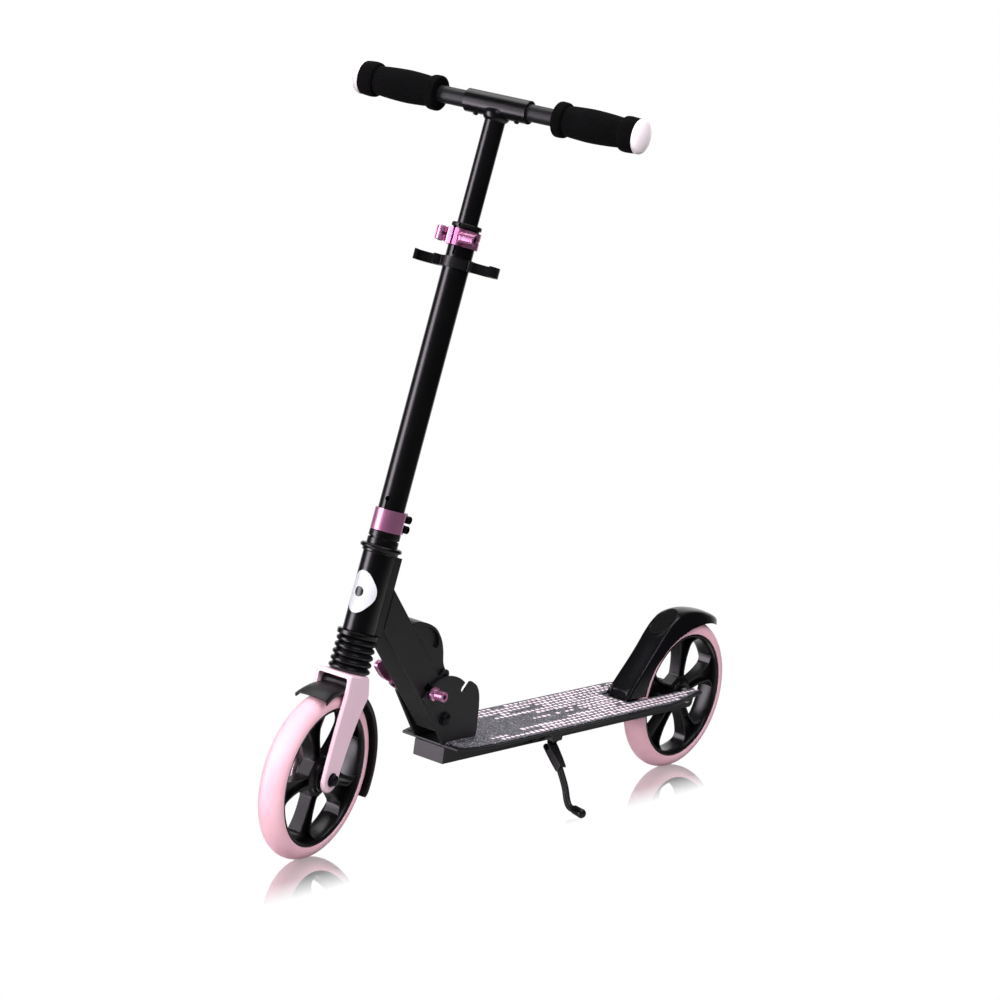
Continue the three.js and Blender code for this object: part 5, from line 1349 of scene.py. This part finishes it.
def kickstand():
    """A rod with a rubber foot, in a channel that folds on a pin under a plate beside the deck."""
    corners = corners_of("kickstand_foot", STAND)
    length = max(corner.x for corner in corners) / MM - 6.0
    cheeks = []
    cheek = [*arc(0, 0, 7.4, 90, 270, 14), *eased([(0, -7.4), (12, -7.0), (26, -6.0), (37, -4.6)], 5)[1:],
             *eased([(37, 4.6), (26, 6.0), (12, 7.0), (0, 7.4)], 5)[:-1]]
    for low, high in ((-5.5, -3.3), (3.3, 5.5)):
        cheeks.append(slab(cheek, low, high, "z"))
    web = [(6, -6.6), (37, -4.4), (37, -2.4), (6, -4.6)]
    channel = soften(solid("kickstand_channel", *cheeks, slab(web, -4, 4, "z")), 0.5)
    fit(channel, STAND, "kickstand", *COATED)
    # The leg leans in under the deck, then its foot turns out again to the ground.
    inward = -1 if STAND.col[2][1] > 0 else 1
    path = eased([(20, 0, 0), (38, 0, 2.0 * inward), (60, 0, 6.0 * inward), (length - 30, 0, 12.0 * inward),
                  (length - 20, 0, 12.2 * inward), (length - 9, 0, 5.6 * inward)], 10)
    rod = solid("kickstand_leg_rod", drawn_along(path, 4.3, 32))
    fit(rod, STAND, "kickstand", *COATED, ["kickstand_leg"])
    coil = []
    count = RETURN_TURNS * RETURN_STEPS
    for i in range(count + 1):
        t = 2 * math.pi * i / RETURN_STEPS
        coil.append((7 + 17.0 * i / count, 2.4 * math.cos(t), 2.4 * math.sin(t)))
    spring = solid("kickstand_spring", drawn_along(coil, 0.55, 8))
    fit(spring, STAND, "kickstand", *PALE_STEEL)
    shoe = [(0.0, -14.7), (4.9, -14.7), (5.5, -14.0), (5.7, -4.0), (5.9, 0.0),
            *oval(5.9, 0.0, 5.9, range(10, 91, 8))]
    foot = solid("kickstand_foot_moulded", shifted(spun(turned(shoe, "x", 64), 31 * inward), length))
    fit(foot, STAND, "kickstand", "black_rubber", RUBBER, ["kickstand_foot"])
    pin = [(0.0, -7.2), (4.6, -7.2), (4.9, -6.8), (4.9, -6.1), (3.0, -6.0), (3.0, 13.0), (0.0, 13.0)]
    fit(solid("kickstand_pin", turned(pin, "z", 48)), STAND, "deck", *DARK_STEEL)
    plate = rounded(oblong(-71, -20, 87.4, 104.6), 2.5)
    base = solid("kickstand_bracket_plate", slab(plate, 23.1, 27.1))
    arm = rounded(oblong(-58, -38, 91, 104.6), 2.0)
    carve(base, "UNION", slab(arm, 24, 44))
    soften(base, 0.8)
    fit(base, DECK, "deck", *COATED, ["kickstand_bracket"])
    bolt = [(0.0, 26.8), (4.6, 26.8), (4.9, 27.3), (4.6, 29.0), (3.4, 30.4), (1.8, 31.1), (0.0, 31.3)]
    for x in (-66, -25):
        made = solid(f"kickstand_bolt_{abs(x)}", turned(bolt, "y", 40))
        fit(made, moved(DECK, x, 0, 96), "deck", *DARK_STEEL)


kickstand()

# ------------------------------------------------------------------ pieces kept from the frame
for kept, finish in (("front_bearing_spacer", BRIGHT_STEEL), ("rear_bearing_spacer", BRIGHT_STEEL)):
    carried = frame["nodes"][kept]
    carried.data.materials.clear()
    carried.data.materials.append(finish)

# ------------------------------------------------------------------ floor, light and camera


def floor():
    """A pale glossy table that fades out into the white room."""
    made = bpy.data.meshes.new("studio_floor")
    sides = 96
    ring = [(4.0 * math.cos(2 * math.pi * i / sides), 4.0 * math.sin(2 * math.pi * i / sides), 0.0)
            for i in range(sides)]
    made.from_pydata(ring, [], [tuple(range(sides))])
    table = bpy.data.objects.new("studio_floor", made)
    bpy.context.scene.collection.objects.link(table)
    gloss = bpy.data.materials.new("white_acrylic_table")
    gloss.use_nodes = True
    tree = gloss.node_tree
    tree.nodes.clear()
    place = add(tree, "TexCoord").outputs["Object"]
    parts = add(tree, "SeparateXYZ", links={"Vector": place})
    # The table's polish shows only close under the wheels and fades towards the front.
    polish = add(tree, "MapRange", {"From Min": -0.075, "From Max": -0.01, "To Min": 0.74, "To Max": 0.0},
                 {"Value": parts.outputs["Y"]})
    # The table shines white to the eye, and throws much less light back up at the scooter.
    seen = add(tree, "LightPath")
    level = add(tree, "MapRange", {"To Min": 0.4, "To Max": 1.02}, {"Value": seen.outputs["Is Camera Ray"]})
    lit = add(tree, "Emission", {"Color": (1, 1, 1, 1)}, {"Strength": level.outputs["Result"]})
    mirror = add(tree, "BsdfGlossy", {"Color": (1, 1, 1, 1), "Roughness": 0.03})
    face = add(tree, "MixShader", links={0: polish.outputs["Result"]})
    tree.links.new(lit.outputs[0], face.inputs[1])
    tree.links.new(mirror.outputs[0], face.inputs[2])
    reach = add(tree, "VectorMath", operation="LENGTH", links={0: place})
    fade = add(tree, "MapRange", {"From Min": 0.6, "From Max": 0.85}, {"Value": reach.outputs["Value"]})
    clear = add(tree, "BsdfTransparent")
    whole = add(tree, "MixShader", links={0: fade.outputs["Result"]})
    tree.links.new(face.outputs[0], whole.inputs[1])
    tree.links.new(clear.outputs[0], whole.inputs[2])
    out = add(tree, "OutputMaterial")
    tree.links.new(whole.outputs[0], out.inputs["Surface"])
    made.materials.append(gloss)


CAMERA_FROM_HUB = Vector((3.38901, 2.3276, 0.6709))
CAMERA_HEADING = -2.48422
CAMERA_DIP = 0.1012


def room():
    """A white room to look at; what the paint reflects is mostly dark, with white behind the scooter."""
    world = bpy.data.worlds.new("studio_room")
    bpy.context.scene.world = world
    world.use_nodes = True
    tree = world.node_tree
    tree.nodes.clear()
    way = add(tree, "TexCoord").outputs["Generated"]
    behind = (math.cos(CAMERA_HEADING), math.sin(CAMERA_HEADING), 0.0)
    facing = add(tree, "VectorMath", operation="DOT_PRODUCT", links={0: way})
    facing.inputs[1].default_value = behind
    white = add(tree, "MapRange", {"From Min": 0.68, "From Max": 0.94, "To Min": 0.02, "To Max": 1.0},
                {"Value": facing.outputs["Value"]}, interpolation_type="SMOOTHSTEP")
    seen = add(tree, "LightPath")
    level = add(tree, "Math", operation="MAXIMUM",
                links={0: white.outputs["Result"], 1: seen.outputs["Is Camera Ray"]})
    light = add(tree, "Background", {"Color": (1, 1, 1, 1)}, {"Strength": level.outputs["Value"]})
    out = add(tree, "OutputWorld")
    tree.links.new(light.outputs[0], out.inputs["Surface"])


def softbox(name, heading, lift, distance, size, watts, colour="#ffffff", shows=True, shades=True):
    """A soft light aimed at the middle of the scooter, from a heading and a lift in degrees."""
    lamp = bpy.data.lights.new(name, "AREA")
    lamp.shape = "RECTANGLE"
    lamp.size, lamp.size_y = size
    lamp.energy = watts
    lamp.color = linear(colour)[:3]
    made = bpy.data.objects.new(name, lamp)
    bpy.context.scene.collection.objects.link(made)
    aim = Vector((0.0, 0.0, 0.42))
    turn, rise = math.radians(heading), math.radians(lift)
    made.location = aim + Vector((math.cos(rise) * math.cos(turn), math.cos(rise) * math.sin(turn),
                                  math.sin(rise))) * distance
    made.rotation_euler = (aim - made.location).to_track_quat("-Z", "Y").to_euler()
    made.visible_glossy = shows
    made.visible_diffuse = shades
    return made


def camera():
    lens = bpy.data.cameras.new("camera")
    lens.lens = 113.66
    lens.sensor_width = 36.0
    lens.clip_end = 60.0
    made = bpy.data.objects.new("camera", lens)
    bpy.context.scene.collection.objects.link(made)
    made.location = pivot("rear_wheel_spin") + CAMERA_FROM_HUB
    level = math.cos(CAMERA_DIP)
    way = Vector((level * math.cos(CAMERA_HEADING), level * math.sin(CAMERA_HEADING), -math.sin(CAMERA_DIP)))
    made.rotation_euler = way.to_track_quat("-Z", "Y").to_euler()
    bpy.context.scene.camera = made


floor()
room()
softbox("front_strip", -34, 8, 2.6, (1.1, 2.5), 62, "#f6ecf8", shades=False)
softbox("left_fill", -30, 10, 4.0, (2.2, 2.4), 55, shows=False)
softbox("ridge_strip", 62, 46, 2.6, (1.8, 0.3), 9, "#e8e0fa")
softbox("overhead", 200, 78, 2.4, (2.4, 1.6), 24)
softbox("top_fill", 40, 72, 3.0, (2.4, 2.0), 26, shows=False)
softbox("low_fill", 8, 4, 9.0, (4.0, 1.2), 290, shows=False)
softbox("side_fill", 75, 30, 4.2, (2.6, 2.6), 120, shows=False)
softbox("front_fill", 20, 22, 4.6, (2.6, 2.6), 120, shows=False)
softbox("back_fill", 215, 25, 3.0, (2.2, 2.2), 40, shows=False)
camera()
bpy.context.scene.view_settings.view_transform = "Standard"
